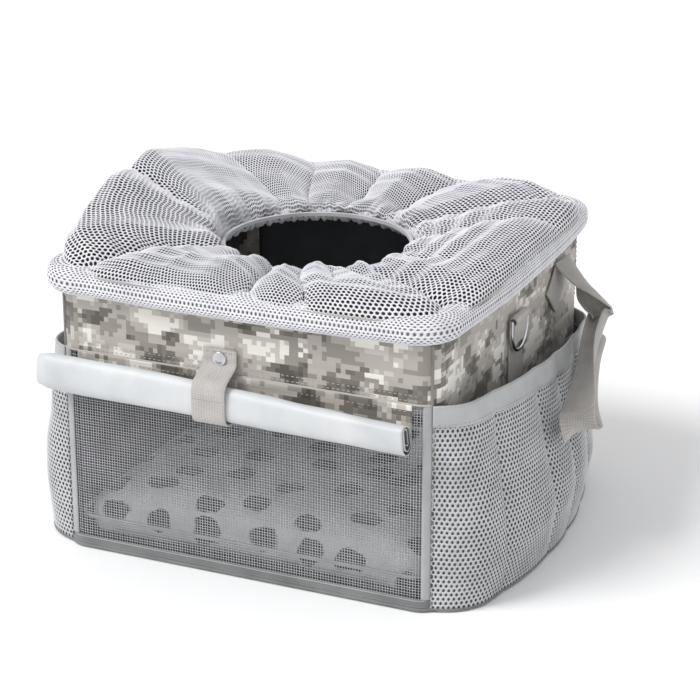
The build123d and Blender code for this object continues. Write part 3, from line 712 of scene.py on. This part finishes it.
def make_base():
    def slab(u, v):
        point, _ = body_at(u)
        share = 0.02 + 0.98 * np.clip(v, 0, 1)
        return column(point[..., 0] * share, point[..., 1] * share, cloth / 2)

    panel = sheet_mesh("base_cloth", slab, 240, 16, (body_length, half_width), CAMO, thickness=cloth,
                       wrap=True)
    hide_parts("base_panel")
    around = np.linspace(0, 1, 300, endpoint=False)
    tube("base_piping", pushed(*body_at(around), 0.2, 1.9), 1.6, DARK_TAPE, closed=True)


def make_window():
    height, circle = band_bottom - sill_top, ring_of(6, *net_thread)

    def thread(k, x, z, side):
        """A thread over one it crosses and under the next; the net hangs in and falls round the corners."""
        hang = np.sin(np.pi * (x / net_half + 1) / 2) * np.sin(np.pi * (z - sill_top) / height)
        fall = np.maximum(np.abs(x) - corner_x, 0) ** 2 / (2 * corner_radius)
        path = column(x, front_y + 0.6 + 0.8 * hang + fall + (0.2 if k % 2 else -0.2), z)
        return loft(path, side, Y, circle)[:2]

    def up(count):
        return np.linspace(sill_top, band_bottom, count)

    def across(count):
        return np.linspace(-net_half, net_half, count)

    threads = [thread(k, x, up(24), X) for k, x in enumerate(across(net_cells[0] + 1))]
    threads += [thread(k, across(40), z, Z) for k, z in enumerate(up(net_cells[1] + 1))]
    faces, base = [], 0
    for points, sides in threads:
        faces += [[base + k for k in face] for face in sides]
        base += len(points)
    net = add_mesh("window_net_threads", np.vstack([points for points, _ in threads]), faces, NET)
    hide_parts("window_net")
    for side, start, end, seam_u in (
            ("right", share_near(body_line, net_half, front_y + 1.2), front_right, 0.99),
            ("left", front_left, share_near(body_line, -net_half, front_y + 1.2), 0.01)):
        surface = wall_surface(start, end, sill_top, band_bottom, inset=-0.1, wrinkle=0.0)

        def puffed(u, v):
            p, q = surface(u, v), np.clip(u, 0, 1)
            return p + unit(p * [1, 1, 0]) * (0.9 * np.sqrt(4 * q * (1 - q)) - 0.5)[..., None]

        binding = sheet_mesh("window_binding_" + side + "_tape", puffed, 14, 80, (7.5, height), GREY_TAPE,
                             thickness=1.2)
        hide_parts("window_binding_" + side)
        tube("window_binding_seam_" + side, line_on(puffed, seam_u, np.linspace(0, 1, 80), 0.3)[0], 0.8,
             DARK_THREAD, sides=6)
    sill = wall_surface(front_left, front_right, cloth, sill_top, inset=0.2, wrinkle=0.15, seed=17)
    piece = sheet_mesh("front_sill_tape", sill, 160, 10, (front_length, sill_top - cloth), DARK_TAPE,
                       thickness=1.2)
    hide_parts("front_sill")
    for name, v, material in (("sill_seam_1", 0.30, DARK_THREAD), ("sill_seam_2", 0.86, THREAD)):
        tube(name, line_on(sill, np.linspace(0.01, 0.99, 200), v, 0.55)[0], 0.45, material, sides=6)


# ------------------------------------------------ rim and cover
rim_line = bowed_outline(*(size - rim_section for size in (*rim_half, rim_corner)), rim_bow)
rim_at = walker(rim_line)
rim_length = length_of(rim_line, True)
rim_left_corner = share_near(rim_line, -rim_half[0], -rim_half[1])
rim_dents = waves(31, 8, 2, 14)
cover_dents = waves(51, 9, 2, 9)
pleat_wobble = waves(61, 6, 2, 9)


def rim_surface(shrink):
    def surface(u, w):
        point, out = rim_at(u)
        point = point + out * (5.0 * near(u, rim_left_corner, 0.02))[..., None]
        c, s = np.cos(TURN * w), np.sin(TURN * w)
        grow = rim_section - shrink + 0.45 * rim_dents(u, 0) * (0.4 + 0.6 * np.abs(c))
        a, b = (np.sign(k) * np.abs(k) ** (2 / 2.8) * grow for k in (c, s))
        return pushed(point, out, a, wall_top + rim_section + b)

    return surface


def make_rim():
    skin = mesh_skin("rim_mesh", rim_surface(0.7), int(rim_length / rim_pitch), 30, WHITE_KNIT, 0.4,
                     (0.42, 0.42), wrap_rows=True, flip=-1)
    # The padding's grey is painted shade, so the mesh's holes read grey
    core = sheet_mesh("rim_padding", rim_surface(1.9), 300, 40, (rim_length, 80.0), SHADED_RIM_CORE, thickness=0.5,
                      wrap=True, flip=-1)
    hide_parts("rim_roll")
    seam = pushed(*rim_at(np.linspace(0, 1, 500, endpoint=False)), -5.2, wall_top + 0.4)
    tube("rim_seam_cord", seam, 1.1, DARK_THREAD, closed=True, sides=8)


def puff(u, v):
    """0 in a crease and 1 on the crest between two, with the creases' own depths."""
    u, v = np.broadcast_arrays(np.asarray(u, float) % 1, np.asarray(v, float))
    x, rise = u.ravel(), v.ravel()
    foot, mouth, deepest, begin = creases.T[..., None]
    wander = np.sin(TURN * (0.9 * rise + 0.37 * np.arange(len(creases))[:, None]))
    place = foot * (1 - rise) + mouth * rise + 0.005 * np.sin(np.pi * rise) * wander
    depth = deepest * ease(rise, begin - 0.25, begin + 0.15)
    below = np.where(place <= x, place, -9)
    wraps = below.max(0) < -1
    k = np.where(wraps, len(creases) - 1, below.argmax(0))
    n, every = (k + 1) % len(creases), np.arange(len(x))
    low, high = place[k, every] - wraps, place[n, every] + ((n == 0) & ~wraps)
    s = np.clip((x - low) / (high - low), 0, 1)
    deep = depth[k, every] * (1 - s) + depth[n, every] * s
    reach = np.minimum(s, 1 - s) * (high - low)
    return (1 - deep * (1 - np.minimum(1, reach / fold_reach) ** 0.55)).reshape(u.shape)


def cover_surface(drop):
    """The cover from the rim to the mouth: puffs between creases, pleats and a scalloped lip."""
    def surface(u, v):
        u, v = np.asarray(u, float) % 1, np.clip(v, 0, 1)
        way = np.stack([np.cos(TURN * u), np.sin(TURN * u)], -1)
        k = (np.abs(way) ** cover_power).sum(-1, keepdims=True) ** (-1 / cover_power)
        foot = way * (np.array(rim_half) - cover_inset) * k
        mouth = [0, mouth_shift] + mouth_radius * way
        steep = 1 + 1.1 * near(u, 0.49, 0.085) - 0.28 * near(u, 0.70, 0.06)
        run = np.maximum(follow(profile_run, v * (len(profile_run) - 1)), 0) ** steep
        rise = follow(profile_rise, v * (len(profile_rise) - 1))
        bump = puff(u, v)
        peak = puff_height * follow(puff_shares, u * len(puff_shares), True)
        height = peak * rise - fold_depth * (1 - bump) * np.minimum(1, np.maximum(rise, 0) * 1.5)
        lip = ease(v, 0.66, 0.86) * (1 - ease(v, 0.93, 1.0))
        scallop = np.sin(TURN * 15 * u + 0.8 + 1.5 * pleat_wobble(u, v * 0.1))
        pleat = np.sin(TURN * 52 * u + 2.4 * pleat_wobble(u, v * 0.3)) * ease(v, 0.72, 1.0)
        height += lip * (3.0 + 1.6 * scallop) + 0.9 * pleat + 1.3 * cover_dents(u, v) * np.sin(np.pi * v)
        push = -2.2 * (bump - 0.6) * ease(v, 0.0, 0.2) * (1 - ease(v, 0.2, 0.5)) + lip * 2.2 * scallop
        plan = foot + (mouth - foot) * run[..., None] + unit(mouth - foot) * push[..., None]
        z = cover_foot_z + (mouth_z - cover_foot_z) * run + height - 3.0 * ease(v, 0.93, 1.0) - drop
        return column(plan[..., 0], plan[..., 1], z)

    return surface


def wider_right(surface):
    """The mesh is stretched over the right side, so its cells are wider there."""
    return lambda u, v: surface(u + 0.025 * (np.sin(TURN * u) + 0.5 * np.sin(2 * TURN * u)), v)


def evened(surface, columns=480, rows=160):
    """The surface with its v spread evenly along each cut."""
    u, t = np.linspace(0, 1, columns, endpoint=False), np.linspace(0, 1, rows)
    points = surface(*np.meshgrid(u, t, indexing="ij"))
    steps = np.linalg.norm(np.diff(points, axis=1), axis=2)
    length = np.concatenate([np.zeros((columns, 1)), np.cumsum(steps, 1)], 1)
    table = np.stack([np.interp(t, row / row[-1], t) for row in length])

    def even_surface(u, v):
        x, y = (np.asarray(u, float) % 1) * columns, np.clip(v, 0, 1) * (rows - 1)
        i, j = x.astype(int) % columns, np.minimum(y.astype(int), rows - 2)
        f, g, k = x - np.floor(x), y - j, (i + 1) % columns
        low, high = (table[i, row] * (1 - f) + table[k, row] * f for row in (j, j + 1))
        return surface(u, low * (1 - g) + high * g)

    return even_surface


def make_cover():
    top, around = cover_surface(0.0), np.linspace(0, 1, 700, endpoint=False)
    skin = mesh_skin("top_cover_mesh", evened(wider_right(top)), 350, 40, WHITE_KNIT, 0.5, (0.60, 0.62))
    # Its near-black is partly the cover's inner layer and partly painted shade seen through the holes
    lining = sheet_mesh("top_cover_lining", cover_surface(2.0), 300, 44, (cover_girth, 150.0), COVER_LINING_AND_SHADE,
                        thickness=0.5, wrap=True)
    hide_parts("top_cover")
    tube("cover_seam", top(around, 0.0) - 0.2 * Z, 0.8, THREAD, closed=True, sides=8)

    def hem(u, v):
        u = np.asarray(u, float) % 1
        edge = top(u, 1.0)
        out = unit((edge - [0, mouth_shift, 0]) * [1, 1, 0])
        wobble = 1 + 0.16 * np.sin(TURN * 92 * u + 3 * pleat_wobble(u, 0)) + 0.08 * np.sin(TURN * 41 * u)
        wide, high = 3.6 * np.cos(TURN * v) * wobble, 4.4 * np.sin(TURN * v) * wobble
        return edge + out * (3.4 + wide)[..., None] + Z * (high - 1.2)[..., None]

    ring = sheet_mesh("cover_hem_casing", hem, 560, 17, (528.0, 26.0), WHITE_TAPE, thickness=0.6, wrap=True)
    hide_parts("cover_hem")


# ------------------------------------------------ pockets
def pocket_plan(bulge):
    """Plan of the right pocket from its front seam over shoulder, belly and hip to the back seam."""
    lean_out = (corner_radius + 0.3) * math.sqrt(0.5)
    front = np.array([corner_x + lean_out, -corner_y - lean_out])
    shoulder = np.array([half_width + bulge * 0.66, front_y + 35.0])
    belly = (half_width + bulge, front_y + 192.5)
    hip = np.array([half_width + bulge * 0.60, front_y + 294.0])

    def bent(a, b):
        chord = b - a
        return arc(a, (a + b) / 2 + np.array([chord[1], -chord[0]]) * 0.12, b, 30)

    runs = bent(front, shoulder)[:-1], arc(shoulder, belly, hip, 120)[:-1], bent(hip, front * [1, -1])
    return even(np.vstack(runs), pocket_stations + 1)


def cubic(knots, x):
    """Smooth curve through uneven knots."""
    kx, ky = np.array(knots).T
    slope = np.gradient(ky, kx)
    k = np.clip(np.searchsorted(kx, x) - 1, 0, len(kx) - 2)
    h = kx[k + 1] - kx[k]
    t = (x - kx[k]) / h
    return (ky[k] * (2 * t ** 3 - 3 * t ** 2 + 1) + slope[k] * h * (t ** 3 - 2 * t ** 2 + t)
            + ky[k + 1] * (3 * t ** 2 - 2 * t ** 3) + slope[k + 1] * h * (t ** 3 - t ** 2))


pocket_z = np.linspace(pocket_levels[0][0], pocket_levels[-1][0], 60)
pocket_grid = np.stack([pocket_plan(b) for b in cubic(pocket_levels, pocket_z)])
pocket_length = length_of(pocket_grid[20])
pocket_dents = waves(71, 7, 1, 6)


def pocket_point(t, z):
    """Point of the right pocket's smooth form and its outward way in plan."""
    t, z = np.clip(t, 0, 1), np.clip(z, pocket_z[0], pocket_z[-1])
    x, q = t * pocket_stations, (z - pocket_z[0]) / (pocket_z[1] - pocket_z[0])
    k, m = np.minimum(x.astype(int), pocket_stations - 1), np.minimum(q.astype(int), len(pocket_z) - 2)
    f, g = (x - k)[..., None], (q - m)[..., None]
    low, high = (pocket_grid[row, k] * (1 - f) + pocket_grid[row, k + 1] * f for row in (m, m + 1))
    ahead = unit(pocket_grid[m, np.minimum(k + 3, pocket_stations)] - pocket_grid[m, np.maximum(k - 2, 0)])
    return low * (1 - g) + high * g, np.stack([ahead[..., 1], -ahead[..., 0]], -1)


def pocket_surface(side, low_drop, high_drop, out=0.0, z_floor=1.2):
    """Cloth between two lines below the sloping hem, or from the floor when low_drop is None."""
    def surface(t, v):
        t, v = np.clip(t, 0, 1), np.clip(v, 0, 1)
        top_point, _ = pocket_point(t, np.full(np.shape(t), hem_z))
        line = band_bottom - hem_slope * (top_point[..., 1] - front_y)
        z_low = z_floor if low_drop is None else line - low_drop
        z = z_low + (line - high_drop - z_low) * v
        k = np.clip(np.searchsorted(pocket_creases, t, side="right") - 1, 0, len(pocket_creases) - 2)
        s = (t - pocket_creases[k]) / (pocket_creases[k + 1] - pocket_creases[k])
        lobes = np.maximum(4 * s * (1 - s), 1e-4) ** 0.55 - 0.62
        rel = np.clip((line - z) / pocket_height, 0, 1)
        strength = 0.35 + 0.65 * np.sin(np.pi * np.minimum(rel, 0.9) / 0.9)
        ends = ease(np.minimum(t, 1 - t), 0, 0.05)
        off = out + ends * (6.0 * strength * lobes + 0.8 * pocket_dents(t, rel) * np.sin(np.pi * rel))
        return pushed(*pocket_point(t, z), off, z) * [side, 1, 1]

    return surface


def make_pockets():
    columns, gap = int(pocket_length / pocket_pitch), half_width + 0.3
    for name, side in (("right", 1), ("left", -1)):
        body = pocket_surface(side, None, hem_width - 3)
        skin = mesh_skin("pocket_mesh_" + name + "_knit", body, columns, 41, GREY_KNIT, 0.5, (0.44, 0.56),
                         wrap=False, flip=side)
        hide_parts("pocket_mesh_" + name)
        inner = pocket_surface(side, None, hem_width - 3, out=-1.6, z_floor=1.6)
        # The backing's grey is partly its own colour and partly painted shade seen through the pocket's holes
        backing = sheet_mesh("pocket_backing_and_painted_shade_" + name, inner, 220, 60, (pocket_length, pocket_height),
                             POCKET_BACK_AND_SHADE, thickness=0.5, flip=side)
        tape = pocket_surface(side, hem_width, 0.0, out=0.9)
        hem = sheet_mesh("pocket_hem_" + name + "_tape", tape, 200, 10, (pocket_length, hem_width), HEM_TAPE,
                         thickness=1.4, flip=side)
        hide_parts("pocket_hem_" + name)
        rows = [line_on(tape, np.linspace(0.01, 0.99, 260), v, 0.7, side) for v in (0.12, 0.93)]
        stitches("pocket_hem_stitches_" + name, rows, THREAD)
        foot = body(np.linspace(0, 1, 240), 0.0)
        foot[:, 2] = 2.0
        tube("pocket_foot_piping_" + name, foot, 1.2, DARK_TAPE)

        def floor(u, v):
            p, _ = pocket_point(u, np.full(np.shape(u), pocket_z[0]))
            x = gap + (np.maximum(p[..., 0], gap) - gap) * np.clip(v, 0, 1)
            return column(x * side, p[..., 1], 0.8)

        piece = sheet_mesh("pocket_floor_" + name + "_cloth", floor, 160, 12, (pocket_length, 50.0),
                           GREY_TAPE, thickness=1.4, flip=side)
        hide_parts("pocket_floor_" + name)


# ------------------------------------------------ flap, its strap and the snap
def roll_line():
    """The roll's cut: (y, z) about its middle, from the outer end behind the top inwards."""
    center, radius, sign, points = 0.0, roll_radius, 1, []
    for step in roll_steps:
        leg = column(1.0, roll_leg / radius * np.linspace(1, -1, 8))
        t = np.linspace(0, math.pi, 18)[1:-1]
        bend = column(np.cos(t), -roll_leg / radius - np.sin(t))
        points += (np.vstack([leg, bend]) * sign * radius + [center, 0]).tolist()
        center, radius, sign = center - sign * step, radius - step, -sign
    return even(points, 260)


def make_flap():
    line, field, fine = roll_line(), waves(81, 7, 1, 5), waves(83, 7, 3, 12)
    length, (middle_y, middle_z) = length_of(line), roll_center

    def surface(u, v):
        u, v = np.clip(u, 0, 1), np.clip(v, 0, 1)
        k = v * (len(line) - 1)
        i = np.minimum(k.astype(int), len(line) - 2)
        f = (k - i)[..., None]
        y, z = np.moveaxis(line[i] * (1 - f) + line[i + 1] * f, -1, 0)
        along, slack = (u - 0.5) * roll_length, ease(u, 0.35, 1.0)
        from_strap = roll_shift + along - strap_x
        crumple = 1 + (0.022 * field(u, v) + 0.012 * fine(u, v)) * ease(np.abs(from_strap), 12, 40)
        size = ((ease(u, 0.0, 0.03) * 0.16 + 0.84) * (1 - 0.05 * np.exp(-(from_strap / 26) ** 2))
                * np.minimum(crumple, 1.03))
        narrow, top = 1 - 0.20 * ease(z, -4, 16), 1 - 0.34 * slack * ease(z, 0, 16)
        return column(roll_shift + along, middle_y + y * narrow * size - 0.22 * slack * z,
                      middle_z + z * top * size - math.tan(roll_tilt) * along)

    roll = sheet_mesh("flap_roll_cloth", surface, 170, 200, (roll_length, length), [COATED, COATED_BACK],
                      "flap", thickness=0.9)
    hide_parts("flap_roll")

    def strip(u, v):
        u, v = np.clip(u, 0, 1), np.clip(v, 0, 1)
        y = front_y - 1.4 - 0.7 * ease(v, 0.3, 1) + 0.25 * field(u, v) * np.sin(np.pi * u)
        return column(strip_width * (u - 0.5), y, band_bottom - (strip_drop + strip_lean * u) * v)

    piece = sheet_mesh("flap_strip_cloth", strip, 160, 14, (strip_width, strip_drop), CAMO, "flap",
                       thickness=0.9, flip=-1)
    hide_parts("flap_strip")
    row = line_on(strip, np.linspace(0.01, 0.99, 200), 0.25, 0.45, -1)
    stitches("flap_strip_stitches", [row], THREAD, "flap", radius=0.32)

    reach, tab_y = 11.2, front_y - 2.7
    t, back_leg, front_leg = np.linspace(0, math.pi, 16), middle_y + reach, middle_y - reach
    round_roll = column(middle_y + reach * np.cos(t), middle_z - 7.65 - reach * np.sin(t))
    path = even(np.vstack([[(back_leg, 178), (back_leg, 164)], round_roll,
                           [(front_leg, 158), (front_leg, 166.4)]]), 90)
    guide = spline([(front_leg - 0.1, 165.8), (front_leg, 172), (front_leg + 5, 180), (tab_y - 1.6, 188),
                    (tab_y, 196), (tab_y, 202)], 60)
    for node, (y, z), body in (("snap_strap", path.T, "flap"), ("snap_tab", guide.T, "tab")):
        strap(node, column(strap_x, y, z), X, 2 * strap_half, 1.8, WEBBING, body)
    edge = column(np.linspace(strap_x - 13, strap_x + 13, 20), tab_y - 0.95, snap_stitch_z)
    stitches("snap_tab_stitches", [(edge, -Y)], THREAD, "tab", radius=0.32)
    dome = np.array([(5.2, 0.0), (6.2, 0.25), (6.3, 0.8), (6.0, 1.4), (5.4, 1.75), (4.9, 1.6), (4.5, 1.5),
                     (3.6, 1.85), (2.2, 2.1), (0.6, 2.2)])
    axis = column(strap_x, tab_y - 0.9 - dome[:, 1], snap_z)
    cap = add_mesh("snap_cap_dome", *loft(axis, X, Z, ring_of(48) * dome[:, :1, None])[:2], CHROME, "tab")
    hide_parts("snap_cap")


# ------------------------------------------------ rings and straps on the sides
def make_side_webbing():
    bar_x, bar_z, sleeve, count = 174.6, 199.0, 3.3, 150
    t = np.linspace(-0.45, 1.0, 22) * math.pi
    over = column(bar_x + sleeve * np.cos(t), bar_z + sleeve * np.sin(t))
    tab = even(np.vstack([[(bar_x - 1.2, 176.0), (bar_x + 0.6, 186.0), (bar_x + 1.2, 192.5)], over,
                          [(171.3, 190.0), (171.3, 170.0), (171.3, 141.0)]]), 110)
    face, way = math.radians(24.0), math.radians(10.0)
    forward = np.array([math.sin(way), -math.cos(way), 0])
    outward = np.array([math.cos(face), math.sin(face), 0])
    top_y = half_depth - 62.0
    start = np.array([half_width + 3.6, top_y, 216.0])
    knot = np.array([half_width + 44.0, top_y - 3.0, 168.0])
    centers = [start + (knot - start) * [along, along, down] for along, down, _, _ in loop_start]
    across = [outward * twist - Y * (1 - twist) for _, _, twist, _ in loop_start]
    for sweep, down, turn, _ in loop_round:
        centers.append(knot + forward * loop_sweep * sweep - Z * loop_drop * down)
        lean = math.radians(turn)
        across.append(outward * math.cos(lean) + np.cross(forward, outward) * math.sin(lean))
    curls = [row[3] for row in loop_start + loop_round]
    folds = np.interp(np.linspace(0, len(curls) - 1, count), np.arange(len(curls)), curls)
    slant, rise = math.sqrt(0.5), np.linspace(0, 1, 30)[:, None]
    anchor = [171.5, top_y, 205.0] - (Y + Z) * slant * loop_width * (1 - rise)
    anchor += X * 0.6 * np.sin(math.pi * rise)
    for name, side in (("right", 1), ("left", -1)):
        mirror = [side, 1, 1]
        strap("ring_tab_" + name, column(tab[:, 0] * side, 0, tab[:, 1]), Y, 32.0, 1.5, WEBBING)
        strap("strap_loop_" + name, spline(centers, count) * mirror, unit(spline(across, count)) * mirror,
              loop_width, 1.7, DARK_WEBBING, "strap_" + name, curl=folds * -side)
        strap("strap_anchor_" + name, anchor * mirror, (Y - Z) * slant, loop_width, 1.8, DARK_WEBBING)


# ------------------------------------------------ straps behind
def round_line(low_x, high_x, low_z, high_z, count):
    """Stitching round a patch behind, and its way out."""
    xs, zs = [low_x, high_x, high_x, low_x, low_x], [low_z, low_z, high_z, high_z, low_z]
    return even(column(xs, half_depth + 2.45, zs), count), Y


def make_back_straps():
    patch_y, root_y = half_depth + 1.25, half_depth + 3.75
    low, high, bar_y, bar_z, bar_r = 173.0, 217.0, 197.15, 204.0, 17.15
    tube_y, tube_z, tube_r = 203.25, 62.0, 23.25
    for name, x in (("left", -75.0), ("right", 75.0)):
        strap("bar_patch_" + name, column(x, patch_y, np.linspace(low, high, 24)), X, 44.0, 2.3, DARK_WEBBING)
        t = np.linspace(0, TURN, 96, endpoint=False)
        loop = column(x, bar_y - bar_r * np.cos(t), bar_z + bar_r * np.sin(t))
        strap("bar_strap_" + name, loop, X, 30.0, 2.3, DARK_WEBBING, closed=True)
        t, r = np.linspace(-0.25, 0.75, 50) * math.pi, bar_r + 2.1
        tail = column(x, bar_y + r * np.cos(t), bar_z + r * np.sin(t))
        ribbon("bar_strap_tail_" + name, tail, X, 29.0, 1.6, HOOK_TAPE)
        root = column(x, root_y, np.linspace(bar_z - 12, bar_z + 12, 20))
        ribbon("bar_strap_root_" + name, root, X, 30.0, 2.3, DARK_WEBBING)
        stitches("bar_patch_stitches_" + name, [round_line(x - 19, x + 19, low + 3, high - 3, 120)], THREAD)
    strap("tube_patch", column(np.linspace(-35, 35, 30), patch_y, tube_z), Z, 28.0, 2.3, DARK_WEBBING)
    t = np.linspace(0, TURN, 110, endpoint=False)
    strap("tube_strap", column(tube_r * np.sin(t), tube_y + tube_r * np.cos(t), tube_z), Z, 28.0, 2.3,
          DARK_WEBBING, closed=True)
    t, r = np.linspace(-0.35, 0.5, 50) * math.pi, tube_r + 2.0
    ribbon("tube_strap_tail", column(r * np.sin(t), tube_y + r * np.cos(t), tube_z), Z, 27.0, 1.6, HOOK_TAPE)
    ribbon("tube_strap_root", column(np.linspace(-21, 21, 20), root_y, tube_z), Z, 28.0, 2.3, DARK_WEBBING)
    stitches("tube_patch_stitches", [round_line(-32, 32, tube_z - 11, tube_z + 11, 160)], THREAD)


# ------------------------------------------------ floor cushion
def values(items, key, width=3, kind=float):
    """A property of all vertices, faces or corners of a mesh."""
    read = np.zeros(len(items) * width, kind)
    items.foreach_get(key, read)
    return read.reshape(-1, width) if width > 1 else read


def bake(obj):
    """Turns the piece's modifiers into its own mesh."""
    graph = bpy.context.evaluated_depsgraph_get()
    graph.update()
    made = bpy.data.meshes.new_from_object(obj.evaluated_get(graph))
    obj.modifiers.clear()
    obj.data = made


def swell(pad, low, high):
    """Blows the cushion up a little inside its box."""
    farthest, gap, frames = 0.008, [0.0004, 0.0004, 0.0], 20
    rest = values(pad.data.vertices, "co")
    press = pad.modifiers.new("swell", "CLOTH")
    press.settings.use_pressure = True
    press.settings.uniform_pressure_force = 4.0
    press.settings.effector_weights.gravity = 0.0
    press.settings.quality = 6
    press.point_cache.frame_start, press.point_cache.frame_end = 1, frames
    scene = bpy.context.scene
    for step in range(1, frames + 1):
        scene.frame_set(step)
    graph = bpy.context.evaluated_depsgraph_get()
    move = values(pad.evaluated_get(graph).data.vertices, "co") - rest
    pad.modifiers.clear()
    far = np.linalg.norm(move, axis=1, keepdims=True)
    move *= np.minimum(1, farthest / np.maximum(far, 1e-9))
    pad.data.vertices.foreach_set("co", np.clip(rest + move, low + gap, high - gap).ravel())
    scene.frame_set(1)


def make_pad():
    source = frame["nodes"]["floor_pad"]
    pad = source.copy()
    pad.data = source.data.copy()
    pad.name = "floor_pad_plush"
    pad.parent = None
    bpy.context.scene.collection.objects.link(pad)
    low, high = (np.array(c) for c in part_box("floor_pad"))
    centre = (low + high) / 2
    start = centre + (values(pad.data.vertices, "co") - centre) * [0.985, 0.985, 0.90]
    pad.data.vertices.foreach_set("co", start.ravel())
    remesh = pad.modifiers.new("even", "REMESH")
    remesh.mode, remesh.voxel_size = "VOXEL", 0.006
    bake(pad)
    swell(pad, low, high)
    lumps = pad.modifiers.new("finer", "SUBSURF")
    lumps.levels = lumps.render_levels = 1
    bake(pad)
    mesh = pad.data
    points, normals = values(mesh.vertices, "co"), values(mesh.vertices, "normal")
    u, v = (points[:, 0] + 0.17) / 0.34, (points[:, 1] + 0.18) / 0.36
    lump = 0.0011 * waves(91, 12, 2, 12)(u, v) + 0.0005 * waves(93, 12, 12, 40)(u, v + points[:, 2] * 9)
    points += normals * lump[:, None]
    points[:, 2] = np.maximum(points[:, 2], low[2])
    mesh.vertices.foreach_set("co", points.ravel())
    mesh.materials.clear()
    mesh.materials.append(PLUSH)
    mesh.polygons.foreach_set("use_smooth", [True] * len(mesh.polygons))
    mesh.update()
    sizes = values(mesh.polygons, "loop_total", 1, np.int32)
    side = np.repeat(np.abs(values(mesh.polygons, "normal")[:, 0]) > 0.75, sizes)
    p = points[values(mesh.loops, "vertex_index", 1, np.int32)]
    unfolded = np.where(side[:, None], p[:, [1, 2]], np.stack([p[:, 0], p[:, 1] + p[:, 2]], 1))
    layer = mesh.uv_layers[0] if mesh.uv_layers else mesh.uv_layers.new(name="UVMap")
    layer.data.foreach_set("uv", unfolded.ravel())
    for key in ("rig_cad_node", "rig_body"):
        if key in pad:
            del pad[key]
    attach(pad, "pad")
    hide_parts("floor_pad")
    ring = bowed_outline(161.8, 168.2, corner_radius, 0, 500)
    line = column(ring[:, 0], ring[:, 1] - 0.4, 27.0)
    tube("floor_pad_piping", line, 1.5, GREY_TAPE, "pad", closed=True, sides=8)


# ------------------------------------------------ kept solids, stage, light, camera
def dress_solids():
    finishes = {CHROME: ("side_ring_right", "side_ring_left", "snap_stud"), WIRE: ("rim_wire",),
                ELASTIC: ("cover_elastic",),
                BOARD: ("base_board", "left_board", "right_board", "back_board", "front_band_board")}
    for material, names in finishes.items():
        for name in names:
            node = frame["nodes"][name]
            node.data.materials.clear()
            node.data.materials.append(material)


def make_stage():
    reach, below = 9.0, -0.35 * MM
    mesh = bpy.data.meshes.new("floor")
    mesh.from_pydata([(x * reach, y * reach, below) for x, y in ((-1, -1), (1, -1), (1, 1), (-1, 1))], [],
                     [(0, 1, 2, 3)])
    s = Shader("pale_floor", "fbfbfb", 0.85, specular=0.2)
    s.rough(s.noise(3, 2), 0.8, 0.92)
    s.bump((s.noise(40, 2), 0.05))
    mesh.materials.append(s.material)
    floor = bpy.data.objects.new("floor", mesh)
    bpy.context.scene.collection.objects.link(floor)


def make_light():
    """A soft sky that the camera and mirrors see as white, a broad key lamp from the left and a weak fill."""
    world = bpy.data.worlds.new("studio")
    bpy.context.scene.world = world
    world.use_nodes = True
    tree = world.node_tree
    tree.nodes.clear()
    output, mix = tree.nodes.new("ShaderNodeOutputWorld"), tree.nodes.new("ShaderNodeMixShader")
    for k, (colour, strength) in enumerate((((0.98, 0.985, 1.0, 1), 0.68), ((1, 1, 1, 1), 1.0))):
        sky = tree.nodes.new("ShaderNodeBackground")
        sky.inputs["Color"].default_value, sky.inputs["Strength"].default_value = colour, strength
        tree.links.new(sky.outputs[0], mix.inputs[k + 1])
    path = tree.nodes.new("ShaderNodeLightPath")
    seen = path.outputs["Is Camera Ray"]
    for ray in ("Is Glossy Ray", "Is Transmission Ray"):
        either = tree.nodes.new("ShaderNodeMath")
        either.operation = "MAXIMUM"
        tree.links.new(seen, either.inputs[0])
        tree.links.new(path.outputs[ray], either.inputs[1])
        seen = either.outputs[0]
    tree.links.new(seen, mix.inputs[0])
    tree.links.new(mix.outputs[0], output.inputs[0])
    for name, toward, strength, spread in (("key", (-0.75, -0.75, 1.25), 1.95, 25),
                                           ("fill", (0.9, -0.5, 0.8), 0.15, 60)):
        lamp = bpy.data.lights.new(name, "SUN")
        lamp.energy, lamp.angle = strength, math.radians(spread)
        obj = bpy.data.objects.new(name, lamp)
        obj.rotation_mode = "QUATERNION"
        obj.rotation_quaternion = Vector(toward).to_track_quat("Z", "Y")
        bpy.context.scene.collection.objects.link(obj)


def make_camera():
    azimuth, elevation = math.radians(23.84), math.radians(20.69)
    distance, focal_pixels, picture = 2078.3, 2374.5, 700.0
    shift_right, height, sensor = 17.4, 142.4, 36.0
    level = math.cos(elevation)
    back = Vector((math.sin(azimuth) * level, -math.cos(azimuth) * level, math.sin(elevation)))
    right = Vector((math.cos(azimuth), math.sin(azimuth), 0))
    data = bpy.data.cameras.new("camera")
    data.sensor_fit, data.sensor_width = "HORIZONTAL", sensor
    data.lens = focal_pixels / picture * sensor
    data.clip_start, data.clip_end = 0.05, 50.0
    camera = bpy.data.objects.new("camera", data)
    camera.location = (right * shift_right + Vector((0, 0, height)) + back * distance) * MM
    camera.rotation_mode = "QUATERNION"
    camera.rotation_quaternion = (-back).to_track_quat("-Z", "Y")
    bpy.context.scene.collection.objects.link(camera)
    bpy.context.scene.camera = camera
    bpy.context.scene.view_settings.view_transform = "Standard"


make_stage()
make_light()
make_camera()
make_base()
make_walls()
make_window()
make_rim()
make_cover()
make_pockets()
make_flap()
make_side_webbing()
make_back_straps()
make_pad()
dress_solids()
